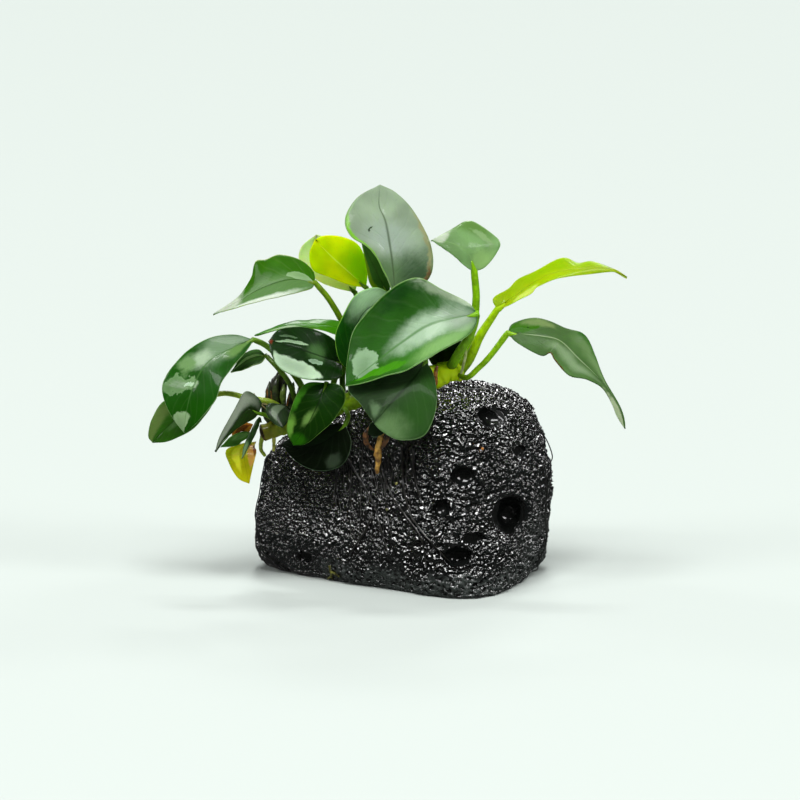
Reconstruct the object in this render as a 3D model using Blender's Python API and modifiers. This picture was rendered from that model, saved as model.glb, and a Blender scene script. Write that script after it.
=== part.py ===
"""Anubias tied and rooted on a lump of lava stone.

Lengths are in millimetres until a shape is built, and the finished objects are in metres, +Z up.
The origin is the middle of the flat face that the stone rests on. The plant was laid out as it is
seen from the front, a little above level, so its points are (across, up, depth): across is +X,
up is measured in that tilted view, and depth runs away from the viewer.
"""

import math

import bmesh
import bpy
from mathutils import Matrix, Vector, noise
from mathutils.bvhtree import BVHTree

MM = 0.001
MERGE = 0.00001  # points nearer than this, in metres, are one
VIEW_TILT = math.radians(12)
REST_DEPTH = 14.0  # depth of the middle of the rest face
GAP = 0.35  # left free between pieces that touch
FINE_STEPS = 12  # steps between two given points of a smooth line, before it is spaced evenly

STONE_CENTRE = (2.0, 12.0, 23.0)  # across, depth, height
STONE_CUTS = 12
STONE_ROUNDING = 11.0  # the higher, the sharper the edges between the facets
# Facets of the stone: compass turn and rise of the outward direction, and distance from the centre.
STONE_FACETS = {
    "front_left": (-120, 5, 15.9),
    "front_right": (-64, 4, 27.6),
    "right": (-22, 2, 28.2),
    "back": (72, 4, 27.0),
    "left": (158, 13, 37.4),
    "top": (180, 88, 24.6),
    "top_left": (180, 62, 25.2),
    "top_right": (-8, 45, 34.9),
    "front_undercut": (-126.5, -32, 22.6),
    "left_undercut": (180, -45, 43.0),
    "right_undercut": (-10, -40, 38.6),
    "bottom": (0, -90, 32.0),
}
STONE_FRONT = 0.4  # outward directions that lean back more than this have no hollows
# Hollows in the stone, and swellings where the depth is negative: across, up, radius and depth.
STONE_DENTS = {
    "under_leaves": (-7.0, 32.0, 9.0, 2.4),
    "right_notch": (37.5, 19.0, 3.0, 0.8),
    "right_bulge": (38.5, 28.0, 7.0, -2.4),
    "right_edge": (38.0, 12.5, 6.5, -1.3),
    "left_shoulder": (-36.5, 26.5, 5.0, 1.5),
    "corner_step": (22.0, 22.0, 6.0, 0.8),
}
STONE_LUMPS = ((0.085, 1.5), (0.22, 0.9), (0.5, 0.45))  # repeats per mm, height

# Burst bubbles: across, up, half width, half height, depth.
BUBBLES = {
    "top": (23.2, 43.5, 3.6, 2.4, 4.4),
    "middle": (16.0, 28.5, 2.6, 1.9, 2.8),
    "large": (27.8, 18.8, 4.0, 3.9, 6.0),
    "low": (18.5, 13.0, 2.4, 1.2, 2.4),
    "lower": (14.5, 8.5, 3.1, 1.9, 2.4),
    "right": (30.3, 34.8, 1.6, 1.2, 1.6),
    "left_low": (-24.0, 8.0, 1.6, 1.1, 1.4),
    "centre": (10.2, 20.5, 1.5, 1.8, 1.6),
}

RHIZOME = (
    (-34.2, 39.3, 8.0),
    (-29.0, 41.0, 8.0),
    (-22.0, 43.3, 8.0),
    (-14.0, 46.6, 7.5),
    (-6.0, 49.4, 7.0),
    (2.0, 51.5, 7.0),
    (8.0, 53.0, 7.0),
    (12.0, 54.6, 7.0),
    (15.2, 54.4, 7.0),
)
RHIZOME_RADII = (2.0, 2.1, 2.2, 2.2, 2.3, 2.5, 2.8, 3.0, 2.1)
RHIZOME_STEPS = 22
RHIZOME_SIDES = 8

RHIZOME_RING = 0.25  # how far the rings where old leaves fell stand out
RHIZOME_PLACES = 200  # places along the rhizome where a stem or a root can grow

LEAF_THICKNESS = 0.5
LEAF_ACROSS = 4
LEAF_ALONG = 9
WAVY_LEAF_ALONG = 12
SMALL_LEAF_ALONG = 6
SMALL_LEAF = 13.0  # a leaf shorter than this has fewer rows
LEAF_POINT = 0.00002  # the rows of a blade close to a point within this distance, in metres

DEEP_GREEN = (0.018, 0.075, 0.010)
MID_GREEN = (0.050, 0.170, 0.022)
SAGE_GREEN = (0.130, 0.260, 0.100)
LIME_GREEN = (0.360, 0.600, 0.010)
STEM_GREEN = (0.200, 0.370, 0.020)
OLIVE = (0.230, 0.230, 0.020)
STRAW = (0.520, 0.300, 0.050)
LAVA = (0.012, 0.013, 0.012)
ROOT_BROWN = (0.030, 0.028, 0.018)
OLD_BARK = (0.060, 0.070, 0.015)
THREAD_GREY = (0.100, 0.105, 0.095)

# Each leaf: base and tip, points along its rib and its two margins between them, its colour, and
# how sharply it is folded along the rib, from 0 for a smooth dish to 1 for a crease.
LEAVES = {
    "leaf_top": dict(
        base=(-1.2, 72.5, 5.0), tip=(-5.0, 101.2, 13.0),
        rib=((-2.0, 81.7, 6.0), (-3.5, 91.5, 8.5), (-5.2, 95.8, 10.5)),
        left=((-3.5, 78.5, 4.5), (-7.2, 84.7, 3.5), (-12.5, 88.6, 5.0), (-13.6, 93.0, 7.5),
              (-10.6, 98.0, 10.5)),
        right=((4.5, 75.0, 6.0), (8.0, 79.5, 7.0), (7.6, 86.5, 8.0), (3.4, 94.6, 11.0), (-1.0, 99.2, 12.5)),
        fold=0.35, colour=SAGE_GREEN),
    "leaf_top_back": dict(
        base=(-2.8, 73.6, 12.5), tip=(-9.6, 87.4, 13.5),
        rib=((-5.6, 79.0, 11.8),),
        left=((-7.0, 75.8, 12.2), (-8.4, 80.5, 12.6)),
        right=((-2.4, 78.5, 12.0), (-5.0, 84.5, 12.6)),
        fold=0.3, colour=DEEP_GREEN),
    "leaf_centre": dict(
        base=(19.2, 69.0, -1.5), tip=(-13.5, 51.0, -7.0),
        rib=((8.0, 66.4, -3.0), (0.5, 61.8, -4.0), (-7.0, 56.0, -5.5)),
        left=((17.0, 71.7, -0.5), (10.5, 75.0, 1.5), (4.2, 78.0, 2.5), (-2.5, 75.0, 3.0),
              (-8.8, 68.6, 1.8), (-11.9, 64.0, 0.5), (-13.3, 56.5, -3.5)),
        right=((19.0, 66.3, -3.0), (16.5, 63.2, -5.5), (10.0, 59.7, -8.5), (3.0, 55.7, -11.0),
               (-3.5, 53.5, -11.0), (-9.5, 51.6, -9.5)),
        fold=0.25, colour=MID_GREEN),
    "leaf_centre_left": dict(
        base=(-12.6, 54.6, 5.5), tip=(-1.5, 73.5, 7.5),
        rib=((-12.0, 62.0, 5.5), (-9.0, 69.5, 6.5)),
        left=((-15.4, 58.0, 4.0), (-16.0, 63.5, 3.5), (-13.8, 69.2, 4.0), (-11.0, 73.7, 5.0),
              (-6.0, 75.6, 6.5)),
        right=((-9.5, 58.5, 7.0), (-6.0, 64.0, 8.0), (-2.5, 69.5, 8.5)),
        fold=0.5, colour=SAGE_GREEN),
    "leaf_left_glossy": dict(
        base=(-14.6, 56.6, 7.0), tip=(-32.7, 62.2, -1.0),
        rib=((-21.0, 58.8, 2.0), (-28.0, 61.0, -0.5)),
        left=((-14.8, 53.2, 3.0), (-19.0, 52.3, -2.0), (-24.8, 53.0, -4.5), (-29.8, 55.4, -4.5),
              (-32.0, 58.9, -3.0)),
        right=((-15.8, 62.0, 7.0), (-21.7, 65.2, 5.0), (-26.5, 65.7, 3.5), (-30.5, 64.8, 1.0)),
        fold=0.35, colour=DEEP_GREEN),
    "leaf_left_thin": dict(
        base=(-13.2, 65.2, 9.2), tip=(-36.2, 63.6, 3.0),
        rib=((-20.5, 66.2, 7.5), (-28.0, 65.9, 5.5)),
        left=((-15.8, 63.9, 7.0), (-20.0, 65.1, 5.8), (-28.0, 65.3, 4.4)),
        right=((-15.5, 67.2, 10.0), (-20.8, 67.6, 10.5), (-29.0, 66.4, 7.0)),
        fold=0.2, colour=MID_GREEN),
    "leaf_left_large": dict(
        base=(-36.6, 62.6, 5.0), tip=(-53.7, 39.3, -5.0),
        rib=((-43.0, 59.8, 2.5), (-48.0, 56.6, -1.5), (-51.3, 51.0, -4.0), (-53.0, 45.0, -5.0)),
        left=((-37.6, 60.8, 3.0), (-41.5, 55.8, -2.0), (-44.3, 52.0, -5.5), (-46.0, 47.3, -7.5),
              (-50.2, 42.2, -6.5)),
        right=((-41.5, 63.8, 5.5), (-48.0, 62.7, 4.5), (-53.8, 58.8, 2.5), (-58.2, 53.8, 0.5),
               (-59.3, 49.5, -1.0), (-57.2, 44.0, -3.5)),
        fold=0.3, colour=MID_GREEN),
    "leaf_left_low": dict(
        base=(-46.2, 48.8, 5.5), tip=(-61.7, 36.8, 3.5),
        rib=((-52.5, 45.5, 4.5), (-58.0, 40.8, 3.6)),
        left=((-47.5, 45.2, 3.5), (-51.5, 40.4, 2.0), (-57.5, 37.3, 2.5)),
        right=((-53.0, 49.6, 5.5), (-59.0, 47.2, 5.5), (-61.8, 43.0, 4.8), (-62.8, 38.6, 4.0)),
        fold=0.4, colour=MID_GREEN),
    "leaf_left_small": dict(
        base=(-35.2, 44.2, 1.0), tip=(-46.0, 34.6, -3.0),
        rib=((-38.0, 45.2, -1.2), (-42.0, 40.5, -2.8)),
        left=((-36.6, 42.7, -0.4), (-40.6, 40.4, -2.6), (-43.7, 37.4, -3.2)),
        right=((-34.6, 47.2, 0.4), (-38.3, 49.7, -0.6), (-41.2, 45.2, -2.2), (-44.9, 38.4, -3.0)),
        fold=0.5, colour=DEEP_GREEN),
    "leaf_left_narrow": dict(
        base=(-34.6, 41.9, 4.4), tip=(-39.4, 32.8, -3.0),
        rib=((-35.3, 42.6, 0.5), (-37.2, 39.0, -2.0)),
        left=((-35.1, 43.2, 1.0), (-36.7, 40.2, -1.2), (-38.9, 36.0, -2.4)),
        right=((-35.0, 42.0, 1.6), (-36.2, 38.6, -1.8), (-38.2, 34.8, -3.0)),
        fold=0.2, colour=DEEP_GREEN),
    "leaf_left_tiny": dict(
        base=(-36.9, 39.0, 6.2), tip=(-44.8, 35.7, -0.5),
        rib=((-38.6, 38.8, 3.0), (-41.5, 37.6, 1.2)),
        left=((-38.2, 38.2, 3.8), (-41.0, 36.2, 1.6)),
        right=((-38.4, 39.6, 3.6), (-41.8, 38.6, 1.4)),
        fold=0.2, colour=MID_GREEN),
    "leaf_yellowed": dict(
        base=(-36.0, 37.0, 7.8), tip=(-37.6, 26.6, 0.5),
        rib=((-38.2, 36.0, 4.0), (-38.8, 33.5, 1.8), (-38.3, 30.0, 0.9)),
        left=((-39.5, 36.6, 4.0), (-43.4, 35.0, 2.8), (-42.6, 31.6, 1.2), (-40.4, 28.0, 0.4)),
        right=((-36.4, 35.6, 5.0), (-35.8, 34.6, 2.2), (-36.5, 31.6, 1.0)),
        fold=0.3, colour=OLIVE),
    "leaf_scrap_dry": dict(
        base=(-36.7, 41.4, 6.6), tip=(-42.0, 38.0, 4.8),
        rib=((-39.4, 40.6, 5.2),),
        left=((-38.2, 38.9, 5.8), (-40.6, 37.0, 4.8)),
        right=((-38.6, 41.8, 6.0), (-41.6, 40.8, 5.0)),
        fold=0.5, colour=STRAW),
    "leaf_low_left": dict(
        base=(-18.3, 51.8, 0.4), tip=(-26.6, 36.2, -2.6),
        rib=((-20.4, 46.5, -2.4), (-23.2, 41.0, -3.4)),
        left=((-23.0, 51.8, -0.6), (-25.6, 49.0, -1.4), (-27.6, 43.6, -2.2), (-28.1, 39.5, -2.6)),
        right=((-14.6, 51.0, -2.0), (-13.7, 47.5, -3.6), (-16.4, 42.6, -4.4), (-20.5, 38.8, -4.4),
               (-23.6, 36.5, -3.6)),
        fold=0.35, colour=MID_GREEN),
    "leaf_low_right": dict(
        base=(6.4, 57.2, -2.5), tip=(-6.4, 41.6, -12.6),
        rib=((3.6, 53.0, -7.0), (-1.6, 47.4, -10.4)),
        left=((-0.5, 56.4, -3.6), (-7.5, 54.2, -3.6), (-12.9, 50.6, -4.8), (-10.0, 46.7, -8.8)),
        right=((8.2, 54.0, -5.0), (9.2, 48.0, -10.5), (8.0, 42.0, -13.0), (5.4, 38.3, -14.2),
               (-0.2, 37.6, -14.4), (-4.6, 39.8, -13.6)),
        fold=0.75, colour=MID_GREEN),
    "leaf_rhizome_small": dict(
        base=(-27.0, 44.0, 4.6), tip=(-29.2, 40.6, -1.6),
        rib=((-28.6, 45.4, 2.4), (-30.2, 43.4, 0.2)),
        left=((-27.2, 44.6, 3.2), (-27.6, 42.6, 0.6)),
        right=((-28.0, 46.0, 3.4), (-32.6, 46.6, 2.0), (-33.4, 44.4, 0.6), (-31.6, 41.8, -0.8)),
        fold=0.3, colour=DEEP_GREEN),
    "leaf_left_inner": dict(
        base=(-33.4, 58.6, 7.6), tip=(-42.2, 54.4, 5.6),
        rib=((-37.6, 57.6, 7.6),),
        left=((-34.5, 56.8, 6.0), (-38.2, 55.4, 5.4)),
        right=((-35.6, 60.2, 9.0), (-39.2, 58.8, 8.6)),
        fold=0.4, colour=MID_GREEN),
    "leaf_on_stone": dict(
        base=(-13.6, 41.4, -0.6), tip=(-29.4, 36.4, 0.4),
        rib=((-19.0, 37.0, -0.8), (-25.0, 35.5, -0.4)),
        left=((-12.2, 36.4, -2.4), (-14.6, 31.2, -2.2), (-20.6, 29.9, -1.0), (-26.0, 32.4, 0.2)),
        right=((-16.0, 41.6, -0.2), (-21.0, 40.6, 0.2), (-26.0, 39.0, 0.8)),
        fold=0.2, colour=DEEP_GREEN),
    "leaf_on_stone_small": dict(
        base=(-3.2, 42.2, -9.6), tip=(-8.0, 38.8, -8.6),
        rib=((-5.4, 41.0, -9.4),),
        left=((-3.4, 39.8, -9.8), (-5.8, 38.4, -9.4)),
        right=((-4.6, 42.8, -9.2), (-7.4, 41.6, -8.9)),
        fold=0.2, colour=DEEP_GREEN),
    "leaf_upper_right": dict(
        base=(18.5, 79.6, 10.5), tip=(7.8, 87.3, 6.5),
        rib=((17.2, 83.6, 9.6), (13.2, 86.4, 8.4)),
        left=((16.6, 80.8, 8.6), (12.6, 84.0, 7.0)),
        right=((21.2, 80.6, 10.8), (24.0, 84.0, 12.5), (24.8, 87.2, 14.0), (20.2, 91.0, 15.0),
               (16.6, 92.2, 14.5), (12.2, 89.7, 11.0)),
        fold=0.35, colour=SAGE_GREEN),
    "leaf_young_long": dict(
        base=(24.2, 70.0, 6.5), tip=(56.5, 78.0, 1.5),
        rib=((29.0, 73.6, 5.8), (37.0, 78.6, 5.0), (46.0, 80.2, 3.6), (52.6, 80.0, 2.4)),
        left=((23.2, 72.8, 8.0), (27.0, 75.2, 8.6), (29.6, 77.8, 9.0), (34.8, 80.0, 8.4), (40.6, 82.9, 8.0),
              (44.2, 81.7, 6.6), (48.0, 82.0, 5.6), (53.6, 79.9, 3.0)),
        right=((28.2, 71.8, 4.2), (32.6, 74.0, 2.8), (34.2, 75.8, 3.2), (40.0, 77.9, 3.0), (48.0, 78.9, 2.4),
               (53.4, 79.4, 1.8)),
        fold=0.2, rows=WAVY_LEAF_ALONG, colour=LIME_GREEN),
    "leaf_right_drooping": dict(
        base=(26.8, 64.2, 1.5), tip=(56.0, 40.3, -5.0),
        rib=((35.2, 63.4, -0.5), (39.8, 62.2, -2.0), (44.2, 58.0, -3.0), (48.6, 53.8, -3.8),
             (52.0, 49.6, -4.2), (54.8, 44.6, -4.6)),
        left=((28.2, 66.6, 3.0), (34.0, 67.9, 3.5), (41.2, 65.5, 2.0), (46.0, 63.7, 0.0), (48.6, 58.5, -2.0),
              (51.0, 52.4, -3.6), (54.6, 46.2, -4.6), (55.8, 42.8, -5.0)),
        right=((29.2, 61.7, -0.5), (35.0, 58.6, -3.5), (37.3, 59.3, -4.2), (38.6, 57.2, -4.6),
               (42.2, 53.5, -6.0), (46.4, 52.8, -6.0), (50.2, 50.8, -5.2), (52.4, 47.2, -4.6),
               (54.0, 43.4, -4.4)),
        fold=0.4, rows=WAVY_LEAF_ALONG, colour=MID_GREEN),
    "leaf_dark_inner": dict(
        base=(6.6, 58.6, 8.4), tip=(15.8, 61.2, 6.6),
        rib=((9.4, 60.2, 7.8), (12.8, 61.0, 7.0)),
        left=((8.0, 61.6, 7.4), (11.4, 63.8, 6.2), (14.4, 63.4, 6.2)),
        right=((8.6, 56.0, 10.8), (11.2, 56.5, 10.8), (14.0, 59.0, 7.6)),
        fold=0.3, colour=DEEP_GREEN),
    "leaf_lime": dict(
        base=(-8.4, 75.6, 14.5), tip=(-21.2, 87.6, 13.5),
        rib=((-13.0, 79.6, 14.6), (-17.6, 83.8, 14.2)),
        left=((-12.5, 76.2, 14.2), (-17.8, 78.2, 13.6), (-21.7, 80.0, 13.0), (-22.6, 84.0, 12.8)),
        right=((-8.2, 80.4, 15.6), (-10.0, 85.8, 16.0), (-13.8, 88.1, 15.6), (-18.4, 88.6, 14.6)),
        fold=0.3, colour=LIME_GREEN),
    "leaf_lime_back": dict(
        base=(-11.2, 74.4, 17.5), tip=(-21.0, 88.8, 19.0),
        rib=((-16.0, 79.6, 18.0), (-20.0, 84.6, 18.6)),
        left=((-15.8, 75.4, 17.0), (-21.0, 77.6, 17.0), (-25.0, 81.8, 17.6), (-24.6, 85.8, 18.4)),
        right=((-10.6, 79.0, 18.4), (-12.6, 84.6, 19.2), (-16.6, 87.8, 19.4)),
        fold=0.3, colour=MID_GREEN),
    "leaf_upper_left": dict(
        base=(-21.2, 76.8, 8.0), tip=(-46.5, 68.8, 1.5),
        rib=((-27.6, 77.4, 6.4), (-34.6, 75.2, 4.6), (-41.0, 71.6, 2.8)),
        left=((-22.2, 75.2, 6.6), (-26.8, 74.0, 3.8), (-33.7, 72.4, 2.2), (-39.6, 70.8, 1.8)),
        right=((-21.6, 79.6, 9.4), (-24.8, 82.3, 10.8), (-29.8, 83.8, 11.2), (-33.4, 82.6, 10.0),
               (-36.0, 82.0, 9.0), (-36.8, 78.4, 7.2), (-40.2, 73.4, 4.4)),
        fold=0.3, rows=WAVY_LEAF_ALONG, colour=MID_GREEN),
}

# Each stem: the share of the rhizome's length where it grows, then its route to the leaf's base,
# and its radius at both ends.
STEMS = {
    "stem_top": dict(
        leaf="leaf_top", share=0.68, radii=(1.0, 0.75),
        route=((1.2, 60.0, 6.6), (-0.2, 67.0, 6.6))),
    "stem_top_back": dict(
        leaf="leaf_top_back", share=0.735, radii=(0.9, 0.6),
        route=((3.4, 60.0, 11.0), (0.4, 68.0, 13.2))),
    "stem_centre": dict(
        leaf="leaf_centre", share=0.94, radii=(1.35, 0.85),
        route=((14.4, 58.8, 3.6), (17.8, 64.4, 1.8))),
    "stem_centre_left": dict(
        leaf="leaf_centre_left", share=0.46, radii=(0.9, 0.7),
        route=((-12.2, 50.5, 5.6),)),
    "stem_left_glossy": dict(
        leaf="leaf_left_glossy", share=0.36, radii=(0.85, 0.65),
        route=((-16.6, 51.5, 9.6), (-15.4, 54.6, 9.0))),
    "stem_left_thin": dict(
        leaf="leaf_left_thin", share=0.42, radii=(0.8, 0.6),
        route=((-14.4, 53.0, 11.0), (-13.2, 60.0, 10.2))),
    "stem_left_large": dict(
        leaf="leaf_left_large", share=0.255, radii=(0.9, 0.7),
        route=((-24.6, 51.0, 9.4), (-28.4, 56.2, 8.0), (-33.0, 60.8, 6.6))),
    "stem_left_low": dict(
        leaf="leaf_left_low", share=0.13, radii=(0.8, 0.65),
        route=((-31.0, 46.4, 5.4), (-38.6, 48.2, 6.0), (-43.2, 49.2, 6.0))),
    "stem_left_small": dict(
        leaf="leaf_left_small", share=0.10, radii=(0.55, 0.5),
        route=((-32.8, 43.4, 4.8),)),
    "stem_low_left": dict(
        leaf="leaf_low_left", share=0.30, radii=(0.8, 0.65),
        route=((-19.4, 48.4, 5.0),)),
    "stem_low_right": dict(
        leaf="leaf_low_right", share=0.76, radii=(0.9, 0.7),
        route=((6.0, 55.6, 2.2),)),
    "stem_left_inner": dict(
        leaf="leaf_left_inner", share=0.19, radii=(0.75, 0.6),
        route=((-27.4, 51.2, 5.4), (-30.6, 55.6, 5.6))),
    "stem_on_stone": dict(
        leaf="leaf_on_stone", share=0.40, radii=(0.65, 0.55),
        route=((-12.9, 43.8, 1.6),)),
    "stem_on_stone_small": dict(
        leaf="leaf_on_stone_small", share=0.645, radii=(0.5, 0.45),
        route=((-0.6, 48.2, -0.5), (-1.2, 45.2, -7.8))),
    "stem_upper_right": dict(
        leaf="leaf_upper_right", share=0.965, radii=(1.15, 0.9),
        route=((15.6, 58.0, 10.4), (18.2, 66.0, 10.8), (19.0, 73.0, 10.8))),
    "stem_young_long": dict(
        leaf="leaf_young_long", share=0.985, radii=(1.45, 0.85),
        route=((17.0, 57.4, 7.0), (20.0, 63.6, 7.0), (22.6, 67.6, 6.8))),
    "stem_right_drooping": dict(
        leaf="leaf_right_drooping", share=0.965, radii=(0.65, 0.8),
        route=((16.6, 53.1, 3.3), (19.4, 55.3, 2.9), (22.4, 58.4, 2.6))),
    "stem_dark_inner": dict(
        leaf="leaf_dark_inner", share=0.815, radii=(0.6, 0.5),
        route=()),
    "stem_lime": dict(
        leaf="leaf_lime", share=0.60, radii=(0.85, 0.65),
        route=((-3.0, 60.0, 11.5), (-6.6, 69.0, 14.0))),
    "stem_lime_back": dict(
        leaf="leaf_lime_back", share=0.54, radii=(0.85, 0.65),
        route=((-6.4, 59.0, 14.0), (-9.4, 69.0, 17.4))),
    "stem_upper_left": dict(
        leaf="leaf_upper_left", share=0.49, radii=(0.9, 0.7),
        route=((-10.2, 57.0, 11.8), (-13.4, 65.0, 12.4), (-17.4, 72.2, 10.2))),
}
STEM_STEPS = 6
STEM_SIDES = 6
STEM_END_GAP = 0.55  # between the end of a stem and the base of its leaf

# What else grows out of the rhizome: share of its length, route, and radius at each point.
OUTGROWTHS = {
    "old_leaf_bases": dict(
        share=0.09, skin="bark",
        route=((-30.6, 46.4, 9.8), (-30.7, 50.4, 10.0), (-30.0, 53.4, 9.8), (-29.6, 54.6, 9.6)),
        radii=(1.5, 1.9, 2.4, 2.0, 0.8)),
    "dead_leaf_stub": dict(
        share=0.585, skin="dry",
        route=((-3.6, 47.4, -0.5), (-4.0, 43.4, -6.4), (-4.6, 39.2, -7.0), (-5.5, 35.2, -7.0),
               (-5.5, 32.2, -6.8), (-5.8, 29.3, -6.4)),
        radii=(0.6, 0.7, 0.9, 1.1, 0.6, 0.95, 0.3)),
    "root_left_pale": dict(
        share=0.055, skin="young",
        route=((-31.5, 36.6, 9.4), (-31.6, 34.9, 10.6)),
        radii=(0.55, 0.45, 0.35)),
    "root_left_green": dict(
        share=0.0, skin="young",
        route=((-34.8, 35.6, 9.4), (-33.8, 33.6, 11.2)),
        radii=(0.6, 0.5, 0.4)),
}
OUTGROWTH_STEPS = 8
DRIED_SHEATH = ((9.2, 56.0, 3.2), (8.8, 53.6, 2.4), (9.1, 51.2, 3.0))
DRIED_SHEATH_RADII = (0.3, 0.54, 0.6, 0.54, 0.24)

# Roots gripping the front of the stone, as (across, up) on its face, from the rhizome down.
ROOTS = {
    "root_long": ((-15.5, 37.0), (-13.0, 32.8), (-10.5, 28.8), (-6.3, 21.5), (-5.2, 17.5), (-2.8, 8.8)),
    "root_left": ((-6.9, 18.4), (-9.0, 14.0), (-12.5, 9.0)),
    "root_centre": ((-5.0, 38.5), (-4.6, 31.0), (-2.4, 25.0), (-0.5, 21.3), (5.2, 13.5), (6.8, 5.3)),
    "root_right": ((0.6, 36.5), (0.9, 27.0), (2.6, 19.0), (7.2, 13.0), (12.5, 6.8)),
    "root_far_right": ((3.4, 35.5), (3.6, 30.0), (5.0, 23.2), (7.0, 18.6)),
}
ROOT_RADIUS = 0.28
ROOT_THICK_END = 1.25  # radius at the rhizome, as a share of ROOT_RADIUS
ROOT_THIN_END = 0.65
ROOT_SIDES = 4
ROOT_SPACING = 2.8

# The tie thread: across, depth, height. It runs over the right shoulder, under the stone in a
# channel, up the left end and over the rhizome, pulled tight over whatever is under it.
CHANNEL = (80.0, 1.3, 2.2)  # size of the cutter for the channel under the stone
CHANNEL_DEPTH = 20.0
CHANNEL_RUN = 0.42  # height of the thread in the channel
THREAD = (
    (1.95, 3.6, 48.2),
    (1.95, 4.4, 52.2),
    (1.95, 7.0, 54.0),
    (2.0, 9.8, 52.0),
    (2.6, 11.6, 48.6),
    (10.0, 15.0, 48.0),
    (20.0, 17.0, 47.6),
    (26.0, 15.4, 46.6),
    (31.6, 9.0, 43.0),
    (36.6, 12.0, 36.0),
    (38.8, 16.0, 28.0),
    (38.4, 18.0, 22.0),
    (37.6, 19.4, 14.0),
    (36.8, 20.0, 7.0),
    (35.6, CHANNEL_DEPTH, 1.4),
    (33.0, CHANNEL_DEPTH, CHANNEL_RUN),
    (0.0, CHANNEL_DEPTH, CHANNEL_RUN),
    (-28.0, CHANNEL_DEPTH, CHANNEL_RUN),
    (-33.0, CHANNEL_DEPTH, 2.6),
    (-36.4, 19.6, 10.0),
    (-36.0, 18.6, 22.0),
    (-32.4, 16.6, 33.0),
    (-22.0, 13.6, 40.0),
    (-12.0, 12.6, 45.0),
    (-6.0, 11.6, 47.0),
)
THREAD_RADIUS = 0.16
THREAD_SIDES = 4
THREAD_STEPS = 84
THREAD_SLACK = 3.0  # the thread is drawn onto a surface that is nearer than this
THREAD_PULLS = 6
CLEARANCE = 1.25  # how far a root or the thread lies off a surface, as a share of radius and gap


def seen(point):
    """A point laid out in the tilted front view, in metres in the object's own frame."""
    across, up, depth = point
    height = (up - depth * math.sin(VIEW_TILT)) / math.cos(VIEW_TILT)
    return Vector((across, depth - REST_DEPTH, height)) * MM


def direction(turn, rise):
    turn, rise = math.radians(turn), math.radians(rise)
    return Vector((math.cos(rise) * math.cos(turn), math.cos(rise) * math.sin(turn), math.sin(rise)))


def clear_scene():
    for obj in list(bpy.data.objects):
        bpy.data.objects.remove(obj, do_unlink=True)


def new_collection(name):
    collection = bpy.data.collections.new(name)
    bpy.context.scene.collection.children.link(collection)
    return collection


def new_material(name, colour, roughness):
    material = bpy.data.materials.new(name)
    material.use_nodes = True
    shader = material.node_tree.nodes["Principled BSDF"]
    shader.inputs["Base Color"].default_value = (*colour, 1.0)
    shader.inputs["Roughness"].default_value = roughness
    shader.inputs["Metallic"].default_value = 0.0
    return material


def new_object(name, mesh, collection, material=None):
    obj = bpy.data.objects.new(name, mesh)
    collection.objects.link(obj)
    if material:
        mesh.materials.clear()
        mesh.materials.append(material)
        mesh.shade_smooth()
    return obj


def mesh_from(bm, name):
    bmesh.ops.recalc_face_normals(bm, faces=bm.faces)
    mesh = bpy.data.meshes.new(name)
    bm.to_mesh(mesh)
    bm.free()
    return mesh


def as_cutter(obj):
    obj.hide_render = True
    obj.display_type = "WIRE"


def smooth_line(points, steps):
    """Points at even spacing along a smooth curve through the given ones."""
    ends = [points[0] * 2 - points[1], *points, points[-1] * 2 - points[-2]]
    fine = []
    for i in range(1, len(ends) - 2):
        before, start, stop, after = ends[i - 1 : i + 3]
        for step in range(FINE_STEPS):
            t = step / FINE_STEPS
            fine.append(
                0.5
                * (
                    2 * start
                    + (stop - before) * t
                    + (2 * before - 5 * start + 4 * stop - after) * t**2
                    + (3 * start - 3 * stop + after - before) * t**3
                )
            )
    fine.append(points[-1].copy())
    lengths = [0.0]
    for a, b in zip(fine, fine[1:]):
        lengths.append(lengths[-1] + (b - a).length)
    placed = []
    index = 0
    for step in range(steps + 1):
        wanted = lengths[-1] * step / steps
        while index < len(fine) - 2 and lengths[index + 1] < wanted:
            index += 1
        span = lengths[index + 1] - lengths[index]
        share = (wanted - lengths[index]) / span if span else 0.0
        placed.append(fine[index].lerp(fine[index + 1], min(share, 1.0)))
    return placed


def relaxed(line):
    """The line with each inner point drawn half way to the middle of its neighbours."""
    inner = ((a + b * 2 + c) / 4 for a, b, c in zip(line, line[1:], line[2:]))
    return [line[0], *inner, line[-1]]


def tube_mesh(name, points, radii, sides):
    """A tube along the points, in metres, as a mesh with closed ends. It has an even number of sides."""
    curve = bpy.data.curves.new(name, "CURVE")
    curve.dimensions = "3D"
    curve.bevel_depth = 1.0
    curve.bevel_resolution = (sides - 4) // 2
    curve.use_fill_caps = True
    curve.twist_mode = "MINIMUM"
    spline = curve.splines.new("POLY")
    spline.points.add(len(points) - 1)
    for spot, point, radius in zip(spline.points, points, radii):
        spot.co = (*point, 1.0)
        spot.radius = radius
    guide = bpy.data.objects.new(name, curve)
    bpy.context.scene.collection.objects.link(guide)
    bpy.context.view_layer.update()
    evaluated = guide.evaluated_get(bpy.context.evaluated_depsgraph_get())
    mesh = bpy.data.meshes.new_from_object(evaluated)
    bpy.data.objects.remove(guide, do_unlink=True)
    bm = bmesh.new()
    bm.from_mesh(mesh)
    bmesh.ops.remove_doubles(bm, verts=bm.verts, dist=MERGE)
    bmesh.ops.recalc_face_normals(bm, faces=bm.faces)
    bm.to_mesh(mesh)
    bm.free()
    return mesh


def cut(obj, cutter):
    boolean = obj.modifiers.new("cut", "BOOLEAN")
    boolean.operation = "DIFFERENCE"
    boolean.solver = "EXACT"
    boolean.object = cutter


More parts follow.
